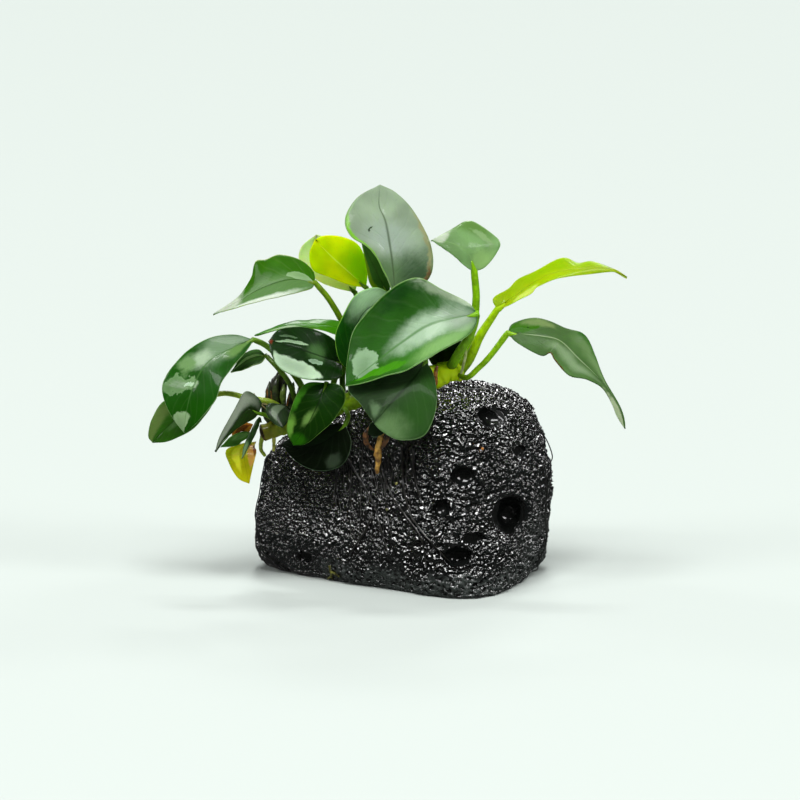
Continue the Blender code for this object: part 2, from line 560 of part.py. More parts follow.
def stone_radius(way):
    """Distance from the stone's centre to its faceted, rounded surface in one direction."""
    total = 0.0
    for turn, rise, distance in STONE_FACETS.values():
        facing = way.dot(direction(turn, rise))
        if facing > 0:
            total += (facing / distance) ** STONE_ROUNDING
    return total ** (-1 / STONE_ROUNDING)


def view_of(point):
    """(across, up) in the tilted view of a point of the stone, given as across, depth, height."""
    return point.x, point.z * math.cos(VIEW_TILT) + point.y * math.sin(VIEW_TILT)


def stone_point(way):
    centre = Vector(STONE_CENTRE)
    point = centre + way * stone_radius(way)
    lift = sum(noise.noise(point * rate) * height for rate, height in STONE_LUMPS)
    across, up = view_of(point)
    if way.y < STONE_FRONT:
        for dent_across, dent_up, radius, depth in STONE_DENTS.values():
            apart = ((across - dent_across) ** 2 + (up - dent_up) ** 2) / radius**2
            lift -= depth * math.exp(-apart)
    return point + way * lift


def build_stone(collection, cutters, material):
    bm = bmesh.new()
    bmesh.ops.create_cube(bm, size=2.0)
    bmesh.ops.subdivide_edges(bm, edges=bm.edges, cuts=STONE_CUTS, use_grid_fill=True)
    for vert in bm.verts:
        way = Vector([math.tan(c * math.pi / 4) for c in vert.co]).normalized()
        point = stone_point(way)
        vert.co = Vector((point.x, point.y - REST_DEPTH, point.z)) * MM
    cut_away = bmesh.ops.bisect_plane(
        bm,
        geom=[*bm.verts, *bm.edges, *bm.faces],
        plane_co=(0, 0, 0),
        plane_no=(0, 0, -1),
        clear_outer=True,
    )
    rim = [item for item in cut_away["geom_cut"] if isinstance(item, bmesh.types.BMEdge)]
    bmesh.ops.contextual_create(bm, geom=rim)
    bmesh.ops.triangulate(bm, faces=bm.faces)
    tree = BVHTree.FromBMesh(bm)
    stone = new_object("stone", mesh_from(bm, "stone"), collection, material)
    cut(stone, build_channel(cutters))
    bubbles = new_object("bubbles", bubble_mesh(tree), cutters)
    as_cutter(bubbles)
    cut(stone, bubbles)
    return stone


def build_channel(cutters):
    """Where the thread passes under the stone."""
    bm = bmesh.new()
    place = Matrix.Translation(Vector((0, CHANNEL_DEPTH - REST_DEPTH, 0)) * MM)
    size = Matrix.Diagonal((*(Vector(CHANNEL) * MM), 1.0))
    bmesh.ops.create_cube(bm, size=1.0, matrix=place @ size)
    channel = new_object("channel", mesh_from(bm, "channel"), cutters)
    as_cutter(channel)
    return channel


def view_ray(across, up):
    """Start and way of the line of sight that passes through a point of the tilted front view."""
    start = seen((across, up, -100.0))
    return start, (seen((across, up, 0.0)) - start).normalized()


def bubble_mesh(tree):
    bm = bmesh.new()
    for across, up, half_width, half_height, depth in BUBBLES.values():
        start, way = view_ray(across, up)
        spot, _, _, _ = tree.ray_cast(start, way)
        made = bmesh.ops.create_icosphere(bm, subdivisions=2, radius=1.0)
        size = Matrix.Diagonal((half_width * MM, half_height * MM, depth * MM, 1.0))
        turned = way.to_track_quat("Z", "Y").to_matrix().to_4x4()
        place = Matrix.Translation(spot) @ turned @ size
        bmesh.ops.transform(bm, matrix=place, verts=made["verts"])
    return mesh_from(bm, "bubbles")


def rhizome_line(steps):
    return smooth_line([seen(point) for point in RHIZOME], steps)


def rhizome_radius(share):
    place = share * (len(RHIZOME_RADII) - 1)
    index = min(int(place), len(RHIZOME_RADII) - 2)
    return RHIZOME_RADII[index] + (RHIZOME_RADII[index + 1] - RHIZOME_RADII[index]) * (place - index)


def rhizome_radii(grown):
    """The rhizome's radius at each step, in metres, with a ring where each old leaf fell."""
    radii = []
    for step in range(RHIZOME_STEPS + 1):
        ring = RHIZOME_RING if step % 2 else 0.0
        radii.append((rhizome_radius(step / RHIZOME_STEPS) + ring + grown) * MM)
    return radii


def build_rhizome(collection, cutters, material):
    """The rhizome, and a cutter a gap larger that whatever grows out of it is cut by."""
    line = rhizome_line(RHIZOME_STEPS)
    mesh = tube_mesh("rhizome", line, rhizome_radii(0.0), RHIZOME_SIDES)
    rhizome = new_object("rhizome", mesh, collection, material)
    first = line[0] * 2 - line[1]
    last = line[-1] + (line[-1] - line[-2]).normalized() * GAP * MM
    room = tube_mesh("rhizome_clearance", [first, *line[1:-1], last], rhizome_radii(GAP), RHIZOME_SIDES)
    clearance = new_object("rhizome_clearance", room, cutters)
    as_cutter(clearance)
    return rhizome, clearance


def blade_point(lines, row, side, fold):
    """A point of a leaf's blade: row counts along it, side runs from -1 to 1 across it."""
    left, rib, right = (line[row] for line in lines)
    edge = left if side < 0 else right
    creased = rib.lerp(edge, abs(side))
    dished = left * (side**2 - side) / 2 + rib * (1 - side**2) + right * (side**2 + side) / 2
    return dished.lerp(creased, fold)


def leaf_lines(leaf, steps):
    ends = (leaf["base"], leaf["tip"])
    return [
        smooth_line([seen(point) for point in (ends[0], *leaf[line], ends[1])], steps)
        for line in ("left", "rib", "right")
    ]


def build_leaf(name, leaf, collection, material):
    length = (Vector(leaf["tip"]) - Vector(leaf["base"])).length
    rows = leaf.get("rows", LEAF_ALONG if length > SMALL_LEAF else SMALL_LEAF_ALONG)
    lines = leaf_lines(leaf, rows)
    bm = bmesh.new()
    bmesh.ops.create_grid(bm, x_segments=LEAF_ACROSS, y_segments=rows, size=1.0)
    for vert in bm.verts:
        row = round((vert.co.y + 1) / 2 * rows)
        vert.co = blade_point(lines, row, vert.co.x, leaf["fold"])
    bmesh.ops.remove_doubles(bm, verts=bm.verts, dist=LEAF_POINT)
    blade = new_object(name, mesh_from(bm, name), collection, material)
    wall = blade.modifiers.new("thickness", "SOLIDIFY")
    wall.thickness = LEAF_THICKNESS * MM
    wall.offset = 0.0
    return blade


def on_rhizome(share):
    return rhizome_line(RHIZOME_PLACES)[round(share * RHIZOME_PLACES)]


def build_outgrowth(name, growth, collection, clearance, material):
    route = [on_rhizome(growth["share"]), *(seen(point) for point in growth["route"])]
    line = smooth_line(route, OUTGROWTH_STEPS)
    last = len(growth["radii"]) - 1
    radii = []
    for step in range(OUTGROWTH_STEPS + 1):
        place = step / OUTGROWTH_STEPS * last
        index = min(int(place), last - 1)
        first, second = growth["radii"][index : index + 2]
        radii.append((first + (second - first) * (place - index)) * MM)
    obj = new_object(name, tube_mesh(name, line, radii, STEM_SIDES), collection, material)
    cut(obj, clearance)


def build_dried_sheath(collection, clearance, material):
    line = smooth_line([seen(point) for point in DRIED_SHEATH], len(DRIED_SHEATH_RADII) - 1)
    radii = [radius * MM for radius in DRIED_SHEATH_RADII]
    obj = new_object("dried_sheath", tube_mesh("dried_sheath", line, radii, STEM_SIDES), collection, material)
    cut(obj, clearance)


def build_stem(name, stem, collection, clearance, material):
    grown = on_rhizome(stem["share"])
    base = seen(LEAVES[stem["leaf"]]["base"])
    route = [grown, *(seen(point) for point in stem["route"]), base]
    line = smooth_line(route, STEM_STEPS)
    end_way = (line[-1] - line[-2]).normalized()
    line[-1] = line[-1] - end_way * STEM_END_GAP * MM
    first, last = stem["radii"]
    radii = [(first + (last - first) * step / STEM_STEPS) * MM for step in range(STEM_STEPS + 1)]
    obj = new_object(name, tube_mesh(name, line, radii, STEM_SIDES), collection, material)
    cut(obj, clearance)


def laid_on(tree, point, lift, slack):
    """The point at a height of lift over the surface, where it is inside it or nearer than slack."""
    spot, normal, _, distance = tree.find_nearest(point)
    if distance < slack or (point - spot).dot(normal) < 0:
        return spot + normal * lift
    return point


def build_root(name, points, tree, collection, material):
    lift = (ROOT_RADIUS + GAP) * CLEARANCE * MM
    rough = [Vector((across, up, 0.0)) for across, up in points]
    length = sum((b - a).length for a, b in zip(rough, rough[1:]))
    steps = round(length / ROOT_SPACING)
    line = []
    for spot in smooth_line(rough, steps):
        touched, normal, _, _ = tree.ray_cast(*view_ray(spot.x, spot.y))
        line.append(touched + normal * lift)
    line = [laid_on(tree, point, lift, lift) for point in relaxed(relaxed(line))]
    thinning = (ROOT_THICK_END - ROOT_THIN_END) / steps
    radii = [ROOT_RADIUS * MM * (ROOT_THICK_END - thinning * i) for i in range(steps + 1)]
    new_object(name, tube_mesh(name, line, radii, ROOT_SIDES), collection, material)


def build_thread(stone_tree, rhizome_tree, collection, material):
    lift = (THREAD_RADIUS + GAP) * CLEARANCE * MM
    route = [Vector((across, depth - REST_DEPTH, height)) * MM for across, depth, height in THREAD]
    line = smooth_line(route, THREAD_STEPS)
    slack = THREAD_SLACK * MM
    for _ in range(THREAD_PULLS):
        line = relaxed(line)
        for i, point in enumerate(line):
            if point.z > (CHANNEL_RUN + THREAD_RADIUS) * MM:
                line[i] = laid_on(rhizome_tree, laid_on(stone_tree, point, lift, slack), lift, lift)
        slack = lift
    radii = [THREAD_RADIUS * MM] * len(line)
    new_object("tie_thread", tube_mesh("tie_thread", line, radii, THREAD_SIDES), collection, material)


def surface_tree(obj):
    graph = bpy.context.evaluated_depsgraph_get()
    bm = bmesh.new()
    bm.from_object(obj, graph)
    tree = BVHTree.FromBMesh(bm)
    bm.free()
    return tree


def main():
    clear_scene()
    plant = new_collection("anubias_on_stone")
    cutters = new_collection("cutters")
    lava = new_material("wet_lava", LAVA, 0.3)
    stem_skin = new_material("stem_green", STEM_GREEN, 0.4)
    root_skin = new_material("root_brown", ROOT_BROWN, 0.5)
    stone = build_stone(plant, cutters, lava)
    bpy.context.view_layer.update()
    tree = surface_tree(stone)
    rhizome, clearance = build_rhizome(plant, cutters, stem_skin)
    skins = {
        "bark": new_material("old_bark", OLD_BARK, 0.5),
        "dry": new_material("dry_straw", STRAW, 0.6),
        "young": new_material("young_root", LIME_GREEN, 0.4),
    }
    for name, leaf in LEAVES.items():
        build_leaf(name, leaf, plant, new_material(name + "_green", leaf["colour"], 0.3))
    for name, stem in STEMS.items():
        build_stem(name, stem, plant, clearance, stem_skin)
    for name, growth in OUTGROWTHS.items():
        build_outgrowth(name, growth, plant, clearance, skins[growth["skin"]])
    build_dried_sheath(plant, clearance, skins["dry"])
    for name, points in ROOTS.items():
        build_root(name, points, tree, plant, root_skin)
    build_thread(tree, surface_tree(rhizome), plant, new_material("thread_grey", THREAD_GREY, 0.6))


main()
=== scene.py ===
import math
import random

import bmesh
import bpy
from mathutils import Matrix, Vector, noise
from mathutils.bvhtree import BVHTree


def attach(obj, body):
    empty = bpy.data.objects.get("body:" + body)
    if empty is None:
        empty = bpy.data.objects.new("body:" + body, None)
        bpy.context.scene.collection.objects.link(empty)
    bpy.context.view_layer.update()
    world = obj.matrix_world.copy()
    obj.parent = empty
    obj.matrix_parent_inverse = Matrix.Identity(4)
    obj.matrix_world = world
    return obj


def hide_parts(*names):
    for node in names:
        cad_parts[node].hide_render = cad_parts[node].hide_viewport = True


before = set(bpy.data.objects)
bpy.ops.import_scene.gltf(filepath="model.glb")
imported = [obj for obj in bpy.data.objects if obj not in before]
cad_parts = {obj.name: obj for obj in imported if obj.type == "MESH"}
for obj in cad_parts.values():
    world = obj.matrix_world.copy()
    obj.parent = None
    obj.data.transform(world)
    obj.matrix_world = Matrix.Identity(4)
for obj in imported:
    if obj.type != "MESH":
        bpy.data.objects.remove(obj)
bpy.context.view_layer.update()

# The plant was laid out in millimetres as it is seen from the front, 12 degrees above level:
# a point is (across, up, depth). seen() puts it into the frame, in metres.
view = dict(tilt=math.radians(12), restDepth=14.0, target=(0.0, 0.0, 0.0456), distance=4.0, frameWidth=0.2)
mm = 0.001
mergeWithin = 0.02 * mm

# Blender's vector noise starts from the clock unless it gets a seed.
noiseSeed = 7
noise.seed_set(noiseSeed)


def seen(point):
    across, up, depth = point
    height = (up - depth * math.sin(view["tilt"])) / math.cos(view["tilt"])
    return Vector((across, depth - view["restDepth"], height)) * mm


def tone(red, green, blue):
    # a colour as a screen shows it, 0 to 255, as the light values that a shader takes
    parts = [part / 255 for part in (red, green, blue)]
    return tuple(p / 12.92 if p <= 0.04045 else ((p + 0.055) / 1.055) ** 2.4 for p in parts) + (1.0,)


def smoothLine(points, steps, fine=12):
    # Catmull-Rom through the points, then evenly spaced
    ends = [points[0] * 2 - points[1], *points, points[-1] * 2 - points[-2]]
    dense = []
    for i in range(1, len(ends) - 2):
        before, start, stop, after = ends[i - 1 : i + 3]
        for step in range(fine):
            t = step / fine
            dense.append(
                0.5
                * (
                    2 * start
                    + (stop - before) * t
                    + (2 * before - 5 * start + 4 * stop - after) * t**2
                    + (3 * start - 3 * stop + after - before) * t**3
                )
            )
    dense.append(points[-1].copy())
    lengths = [0.0]
    for a, b in zip(dense, dense[1:]):
        lengths.append(lengths[-1] + (b - a).length)
    placed = []
    index = 0
    for step in range(steps + 1):
        wanted = lengths[-1] * step / steps
        while index < len(dense) - 2 and lengths[index + 1] < wanted:
            index += 1
        span = lengths[index + 1] - lengths[index]
        share = min((wanted - lengths[index]) / span if span else 0.0, 1.0)
        placed.append(dense[index].lerp(dense[index + 1], share))
    return placed


def lengthOf(line):
    return sum((b - a).length for a, b in zip(line, line[1:]))


def alongList(values, share):
    # a value between the given ones, which are evenly spread
    place = min(max(share, 0.0), 1.0) * (len(values) - 1)
    index = min(int(place), len(values) - 2)
    return values[index] + (values[index + 1] - values[index]) * (place - index)


def newMaterial(name):
    material = bpy.data.materials.new(name)
    material.use_nodes = True
    return material, material.node_tree, material.node_tree.nodes["Principled BSDF"]


def addNode(tree, kind, inputs=None, **settings):
    node = tree.nodes.new("ShaderNode" + kind)
    for name, value in settings.items():
        setattr(node, name, value)
    for name, value in (inputs or {}).items():
        if isinstance(value, bpy.types.NodeSocket):
            tree.links.new(value, node.inputs[name])
        else:
            node.inputs[name].default_value = value
    return node


def compute(tree, operation, first, second=0.0, **settings):
    return addNode(tree, "Math", {0: first, 1: second}, operation=operation, **settings).outputs[0]


def times(tree, first, second):
    return compute(tree, "MULTIPLY", first, second)


def plus(tree, first, second, share=1.0):
    # first, and a share of second added to it
    return addNode(tree, "Math", {0: second, 1: share, 2: first}, operation="MULTIPLY_ADD").outputs[0]


def rise(tree, value, low, high):
    # 0 below low, 1 above high, soft between them; low may be the higher one
    inputs = {"Value": value, "From Min": low, "From Max": high}
    return addNode(tree, "MapRange", inputs, interpolation_type="SMOOTHSTEP").outputs["Result"]


def blendColour(tree, share, first, second):
    return addNode(tree, "Mix", {0: share, 6: first, 7: second}, data_type="RGBA").outputs[2]


def noiseOn(tree, place, scale, detail=3.0, roughness=0.5, output="Fac"):
    inputs = {"Vector": place, "Scale": scale, "Detail": detail, "Roughness": roughness}
    return addNode(tree, "TexNoise", inputs).outputs[output]


def strandsOn(tree, place, scale, squeeze):
    # noise drawn out along the height
    drawn = addNode(tree, "Mapping", {"Vector": place, "Scale": (1.0, 1.0, squeeze)}).outputs["Vector"]
    return noiseOn(tree, drawn, scale)


def splitVector(tree, vector):
    return addNode(tree, "SeparateXYZ", {"Vector": vector}).outputs


def objectPlace(tree):
    return addNode(tree, "TexCoord").outputs["Object"]


def attributeOf(tree, name):
    return addNode(tree, "Attribute", attribute_name=name).outputs["Fac"]


def bumpFrom(tree, height, strength, distance, normal=None):
    inputs = {"Height": height, "Strength": strength, "Distance": distance}
    if normal:
        inputs["Normal"] = normal
    return addNode(tree, "Bump", inputs).outputs["Normal"]


def finish(shader, tree, **sockets):
    for name, value in sockets.items():
        socket = shader.inputs[name.replace("_", " ")]
        if isinstance(value, bpy.types.NodeSocket):
            tree.links.new(value, socket)
        else:
            socket.default_value = value


def faded(colour, share):
    return tone(*[part * share for part in colour])


def newPiece(name, bm, *materials):
    mesh = bpy.data.meshes.new(name)
    bm.to_mesh(mesh)
    bm.free()
    piece = bpy.data.objects.new(name, mesh)
    bpy.context.scene.collection.objects.link(piece)
    for material in materials:
        mesh.materials.append(material)
    mesh.shade_smooth()
    return piece


def standIn(piece, slot, *nodes):
    if nodes:
        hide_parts(*nodes)
    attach(piece, "root")


def addTube(bm, line, radii, sides, run=None):
    # a closed tube, pushed out of a circle step by step; run is a layer that counts from 0 to 1
    way = (line[1] - line[0]).normalized()
    turn = way.to_track_quat("Z", "Y")
    place = Matrix.Translation(line[0]) @ turn.to_matrix().to_4x4()
    made = bmesh.ops.create_circle(bm, cap_ends=True, segments=sides, radius=radii[0], matrix=place)
    verts = made["verts"]
    if run:
        for vert in verts:
            vert[run] = 0.0
    face = verts[0].link_faces[0]
    for step in range(1, len(line)):
        ahead = line[min(step + 1, len(line) - 1)] - line[step - 1]
        bend = way.rotation_difference(ahead.normalized())
        pushed = bmesh.ops.extrude_face_region(bm, geom=[face])["geom"]
        oldFace = face
        face = next(item for item in pushed if isinstance(item, bmesh.types.BMFace))
        size = Matrix.Scale(radii[step] / radii[step - 1], 4)
        place = Matrix.Translation(line[step]) @ bend.to_matrix().to_4x4() @ size
        bmesh.ops.transform(bm, matrix=place @ Matrix.Translation(-line[step - 1]), verts=face.verts)
        if step > 1 and oldFace.is_valid:
            bmesh.ops.delete(bm, geom=[oldFace], context="FACES_ONLY")
        if run:
            for vert in face.verts:
                vert[run] = step / (len(line) - 1)
        way = ahead.normalized()


def roughen(bm, amount, *noises):
    # pushes each point in or out along its normal; noises are pairs of a scale and a share
    bm.normal_update()
    for vert in bm.verts:
        push = sum(noise.noise(vert.co * scale) * share for scale, share in noises)
        vert.co += vert.normal * push * amount * mm


def closedPiece(name, bm, material, slot, *nodes):
    bmesh.ops.recalc_face_normals(bm, faces=bm.faces)
    piece = newPiece(name, bm, material)
    standIn(piece, slot, *nodes)
    return piece


# The blade's cells, its greatest thickness, the shares of it in the body and at the margin, and the
# groove along the midrib; lengths in millimetres. shortLeaf is the length under which a blade has
# half as many cells; ripples and curl are pairs of a scale and a height.
leafMesh = dict(
    across=26, along=56, thickness=0.9, body=0.5, margin=0.3, ribWidth=0.07, ribFade=0.75,
    groove=0.34, grooveWidth=0.055, grooveFade=0.6, shortLeaf=13, ripples=((130, 0.32), (330, 0.1)),
    curl=((7, 0.7), 0.45), upward=(0.0, -0.6, 0.8),
)

# Each leaf: base and tip, points along its rib and its two margins between them, and how sharply it
# is folded along the rib, from 0 for a smooth dish to 1 for a crease.
leafShapes = {
    "leaf_top": dict(
        base=(-1.2, 72.5, 5.0), tip=(-5.0, 101.2, 13.0),
        rib=((-2.0, 81.7, 6.0), (-3.5, 91.5, 8.5), (-5.2, 95.8, 10.5)),
        left=((-3.5, 78.5, 4.5), (-7.2, 84.7, 3.5), (-12.5, 88.6, 5.0), (-13.6, 93.0, 7.5),
              (-10.6, 98.0, 10.5)),
        right=((4.5, 75.0, 6.0), (8.0, 79.5, 7.0), (7.6, 86.5, 8.0), (3.4, 94.6, 11.0), (-1.0, 99.2, 12.5)),
        fold=0.35),
    "leaf_top_back": dict(
        base=(-2.8, 73.6, 12.5), tip=(-9.6, 87.4, 13.5),
        rib=((-5.6, 79.0, 11.8),),
        left=((-7.0, 75.8, 12.2), (-8.4, 80.5, 12.6)),
        right=((-2.4, 78.5, 12.0), (-5.0, 84.5, 12.6)),
        fold=0.3),
    "leaf_centre": dict(
        base=(19.2, 69.0, -1.5), tip=(-13.5, 51.0, -7.0),
        rib=((8.0, 66.4, -3.0), (0.5, 61.8, -4.0), (-7.0, 56.0, -5.5)),
        left=((17.0, 71.7, -0.5), (10.5, 75.0, 1.5), (4.2, 78.0, 2.5), (-2.5, 75.0, 3.0),
              (-8.8, 68.6, 1.8), (-11.9, 64.0, 0.5), (-13.3, 56.5, -3.5)),
        right=((19.0, 66.3, -3.0), (16.5, 63.2, -5.5), (10.0, 59.7, -8.5), (3.0, 55.7, -11.0),
               (-3.5, 53.5, -11.0), (-9.5, 51.6, -9.5)),
        fold=0.25),
    "leaf_centre_left": dict(
        base=(-12.6, 54.6, 5.5), tip=(-1.5, 73.5, 7.5),
        rib=((-12.0, 62.0, 5.5), (-9.0, 69.5, 6.5)),
        left=((-15.4, 58.0, 4.0), (-16.0, 63.5, 3.5), (-13.8, 69.2, 4.0), (-11.0, 73.7, 5.0),
              (-6.0, 75.6, 6.5)),
        right=((-9.5, 58.5, 7.0), (-6.0, 64.0, 8.0), (-2.5, 69.5, 8.5)),
        fold=0.5),
    "leaf_left_glossy": dict(
        base=(-14.6, 56.6, 7.0), tip=(-32.7, 62.2, -1.0),
        rib=((-21.0, 58.8, 2.0), (-28.0, 61.0, -0.5)),
        left=((-14.8, 53.2, 3.0), (-19.0, 52.3, -2.0), (-24.8, 53.0, -4.5), (-29.8, 55.4, -4.5),
              (-32.0, 58.9, -3.0)),
        right=((-15.8, 62.0, 7.0), (-21.7, 65.2, 5.0), (-26.5, 65.7, 3.5), (-30.5, 64.8, 1.0)),
        fold=0.35),
    "leaf_left_thin": dict(
        base=(-13.2, 65.2, 9.2), tip=(-36.2, 63.6, 3.0),
        rib=((-20.5, 66.2, 7.5), (-28.0, 65.9, 5.5)),
        left=((-15.8, 63.9, 7.0), (-20.0, 65.1, 5.8), (-28.0, 65.3, 4.4)),
        right=((-15.5, 67.2, 10.0), (-20.8, 67.6, 10.5), (-29.0, 66.4, 7.0)),
        fold=0.2),
    "leaf_left_large": dict(
        base=(-36.6, 62.6, 5.0), tip=(-53.7, 39.3, -5.0),
        rib=((-43.0, 59.8, 2.5), (-48.0, 56.6, -1.5), (-51.3, 51.0, -4.0), (-53.0, 45.0, -5.0)),
        left=((-37.6, 60.8, 3.0), (-41.5, 55.8, -2.0), (-44.3, 52.0, -5.5), (-46.0, 47.3, -7.5),
              (-50.2, 42.2, -6.5)),
        right=((-41.5, 63.8, 5.5), (-48.0, 62.7, 4.5), (-53.8, 58.8, 2.5), (-58.2, 53.8, 0.5),
               (-59.3, 49.5, -1.0), (-57.2, 44.0, -3.5)),
        fold=0.3),
    "leaf_left_low": dict(
        base=(-46.2, 48.8, 5.5), tip=(-61.7, 36.8, 3.5),
        rib=((-52.5, 45.5, 4.5), (-58.0, 40.8, 3.6)),
        left=((-47.5, 45.2, 3.5), (-51.5, 40.4, 2.0), (-57.5, 37.3, 2.5)),
        right=((-53.0, 49.6, 5.5), (-59.0, 47.2, 5.5), (-61.8, 43.0, 4.8), (-62.8, 38.6, 4.0)),
        fold=0.4),
    "leaf_left_small": dict(
        base=(-35.2, 44.2, 1.0), tip=(-46.0, 34.6, -3.0),
        rib=((-38.0, 45.2, -1.2), (-42.0, 40.5, -2.8)),
        left=((-36.6, 42.7, -0.4), (-40.6, 40.4, -2.6), (-43.7, 37.4, -3.2)),
        right=((-34.6, 47.2, 0.4), (-38.3, 49.7, -0.6), (-41.2, 45.2, -2.2), (-44.9, 38.4, -3.0)),
        fold=0.5),
    "leaf_left_narrow": dict(
        base=(-34.6, 41.9, 4.4), tip=(-39.4, 32.8, -3.0),
        rib=((-35.3, 42.6, 0.5), (-37.2, 39.0, -2.0)),
        left=((-35.1, 43.2, 1.0), (-36.7, 40.2, -1.2), (-38.9, 36.0, -2.4)),
        right=((-35.0, 42.0, 1.6), (-36.2, 38.6, -1.8), (-38.2, 34.8, -3.0)),
        fold=0.2),
    "leaf_left_tiny": dict(
        base=(-36.9, 39.0, 6.2), tip=(-44.8, 35.7, -0.5),
        rib=((-38.6, 38.8, 3.0), (-41.5, 37.6, 1.2)),
        left=((-38.2, 38.2, 3.8), (-41.0, 36.2, 1.6)),
        right=((-38.4, 39.6, 3.6), (-41.8, 38.6, 1.4)),
        fold=0.2),
    "leaf_yellowed": dict(
        base=(-36.0, 37.0, 7.8), tip=(-37.6, 26.6, 0.5),
        rib=((-38.2, 36.0, 4.0), (-38.8, 33.5, 1.8), (-38.3, 30.0, 0.9)),
        left=((-39.5, 36.6, 4.0), (-43.4, 35.0, 2.8), (-42.6, 31.6, 1.2), (-40.4, 28.0, 0.4)),
        right=((-36.4, 35.6, 5.0), (-35.8, 34.6, 2.2), (-36.5, 31.6, 1.0)),
        fold=0.3),
    "leaf_scrap_dry": dict(
        base=(-36.7, 41.4, 6.6), tip=(-42.0, 38.0, 4.8),
        rib=((-39.4, 40.6, 5.2),),
        left=((-38.2, 38.9, 5.8), (-40.6, 37.0, 4.8)),
        right=((-38.6, 41.8, 6.0), (-41.6, 40.8, 5.0)),
        fold=0.5),
    "leaf_low_left": dict(
        base=(-18.3, 51.8, 0.4), tip=(-26.6, 36.2, -2.6),
        rib=((-20.4, 46.5, -2.4), (-23.2, 41.0, -3.4)),
        left=((-23.0, 51.8, -0.6), (-25.6, 49.0, -1.4), (-27.6, 43.6, -2.2), (-28.1, 39.5, -2.6)),
        right=((-14.6, 51.0, -2.0), (-13.7, 47.5, -3.6), (-16.4, 42.6, -4.4), (-20.5, 38.8, -4.4),
               (-23.6, 36.5, -3.6)),
        fold=0.35),
    "leaf_low_right": dict(
        base=(6.4, 57.2, -2.5), tip=(-6.4, 41.6, -12.6),
        rib=((3.6, 53.0, -7.0), (-1.6, 47.4, -10.4)),
        left=((-0.5, 56.4, -3.6), (-7.5, 54.2, -3.6), (-12.9, 50.6, -4.8), (-10.0, 46.7, -8.8)),
        right=((8.2, 54.0, -5.0), (9.2, 48.0, -10.5), (8.0, 42.0, -13.0), (5.4, 38.3, -14.2),
               (-0.2, 37.6, -14.4), (-4.6, 39.8, -13.6)),
        fold=0.75),
    "leaf_rhizome_small": dict(
        base=(-27.0, 44.0, 4.6), tip=(-29.2, 40.6, -1.6),
        rib=((-28.6, 45.4, 2.4), (-30.2, 43.4, 0.2)),
        left=((-27.2, 44.6, 3.2), (-27.6, 42.6, 0.6)),
        right=((-28.0, 46.0, 3.4), (-32.6, 46.6, 2.0), (-33.4, 44.4, 0.6), (-31.6, 41.8, -0.8)),
        fold=0.3),
    "leaf_left_inner": dict(
        base=(-33.4, 58.6, 7.6), tip=(-42.2, 54.4, 5.6),
        rib=((-37.6, 57.6, 7.6),),
        left=((-34.5, 56.8, 6.0), (-38.2, 55.4, 5.4)),
        right=((-35.6, 60.2, 9.0), (-39.2, 58.8, 8.6)),
        fold=0.4),
    "leaf_on_stone": dict(
        base=(-13.6, 41.4, -0.6), tip=(-29.4, 36.4, 0.4),
        rib=((-19.0, 37.0, -0.8), (-25.0, 35.5, -0.4)),
        left=((-12.2, 36.4, -2.4), (-14.6, 31.2, -2.2), (-20.6, 29.9, -1.0), (-26.0, 32.4, 0.2)),
        right=((-16.0, 41.6, -0.2), (-21.0, 40.6, 0.2), (-26.0, 39.0, 0.8)),
        fold=0.2),
    "leaf_on_stone_small": dict(
        base=(-3.2, 42.2, -9.6), tip=(-8.0, 38.8, -8.6),
        rib=((-5.4, 41.0, -9.4),),
        left=((-3.4, 39.8, -9.8), (-5.8, 38.4, -9.4)),
        right=((-4.6, 42.8, -9.2), (-7.4, 41.6, -8.9)),
        fold=0.2),
    "leaf_upper_right": dict(
        base=(18.5, 79.6, 10.5), tip=(7.8, 87.3, 6.5),
        rib=((17.2, 83.6, 9.6), (13.2, 86.4, 8.4)),
        left=((16.6, 80.8, 8.6), (12.6, 84.0, 7.0)),
        right=((21.2, 80.6, 10.8), (24.0, 84.0, 12.5), (24.8, 87.2, 14.0), (20.2, 91.0, 15.0),
               (16.6, 92.2, 14.5), (12.2, 89.7, 11.0)),
        fold=0.35),
    "leaf_young_long": dict(
        base=(24.2, 70.0, 6.5), tip=(56.5, 78.0, 1.5),
        rib=((29.0, 73.6, 5.8), (37.0, 78.6, 5.0), (46.0, 80.2, 3.6), (52.6, 80.0, 2.4)),
        left=((23.2, 72.8, 8.0), (27.0, 75.2, 8.6), (29.6, 77.8, 9.0), (34.8, 80.0, 8.4), (40.6, 82.9, 8.0),
              (44.2, 81.7, 6.6), (48.0, 82.0, 5.6), (53.6, 79.9, 3.0)),
        right=((28.2, 71.8, 4.2), (32.6, 74.0, 2.8), (34.2, 75.8, 3.2), (40.0, 77.9, 3.0), (48.0, 78.9, 2.4),
               (53.4, 79.4, 1.8)),
        fold=0.2),
    "leaf_right_drooping": dict(
        base=(26.8, 64.2, 1.5), tip=(56.0, 40.3, -5.0),
        rib=((35.2, 63.4, -0.5), (39.8, 62.2, -2.0), (44.2, 58.0, -3.0), (48.6, 53.8, -3.8),
             (52.0, 49.6, -4.2), (54.8, 44.6, -4.6)),
        left=((28.2, 66.6, 3.0), (34.0, 67.9, 3.5), (41.2, 65.5, 2.0), (46.0, 63.7, 0.0), (48.6, 58.5, -2.0),
              (51.0, 52.4, -3.6), (54.6, 46.2, -4.6), (55.8, 42.8, -5.0)),
        right=((29.2, 61.7, -0.5), (35.0, 58.6, -3.5), (37.3, 59.3, -4.2), (38.6, 57.2, -4.6),
               (42.2, 53.5, -6.0), (46.4, 52.8, -6.0), (50.2, 50.8, -5.2), (52.4, 47.2, -4.6),
               (54.0, 43.4, -4.4)),
        fold=0.4),
    "leaf_dark_inner": dict(
        base=(6.6, 58.6, 8.4), tip=(15.8, 61.2, 6.6),
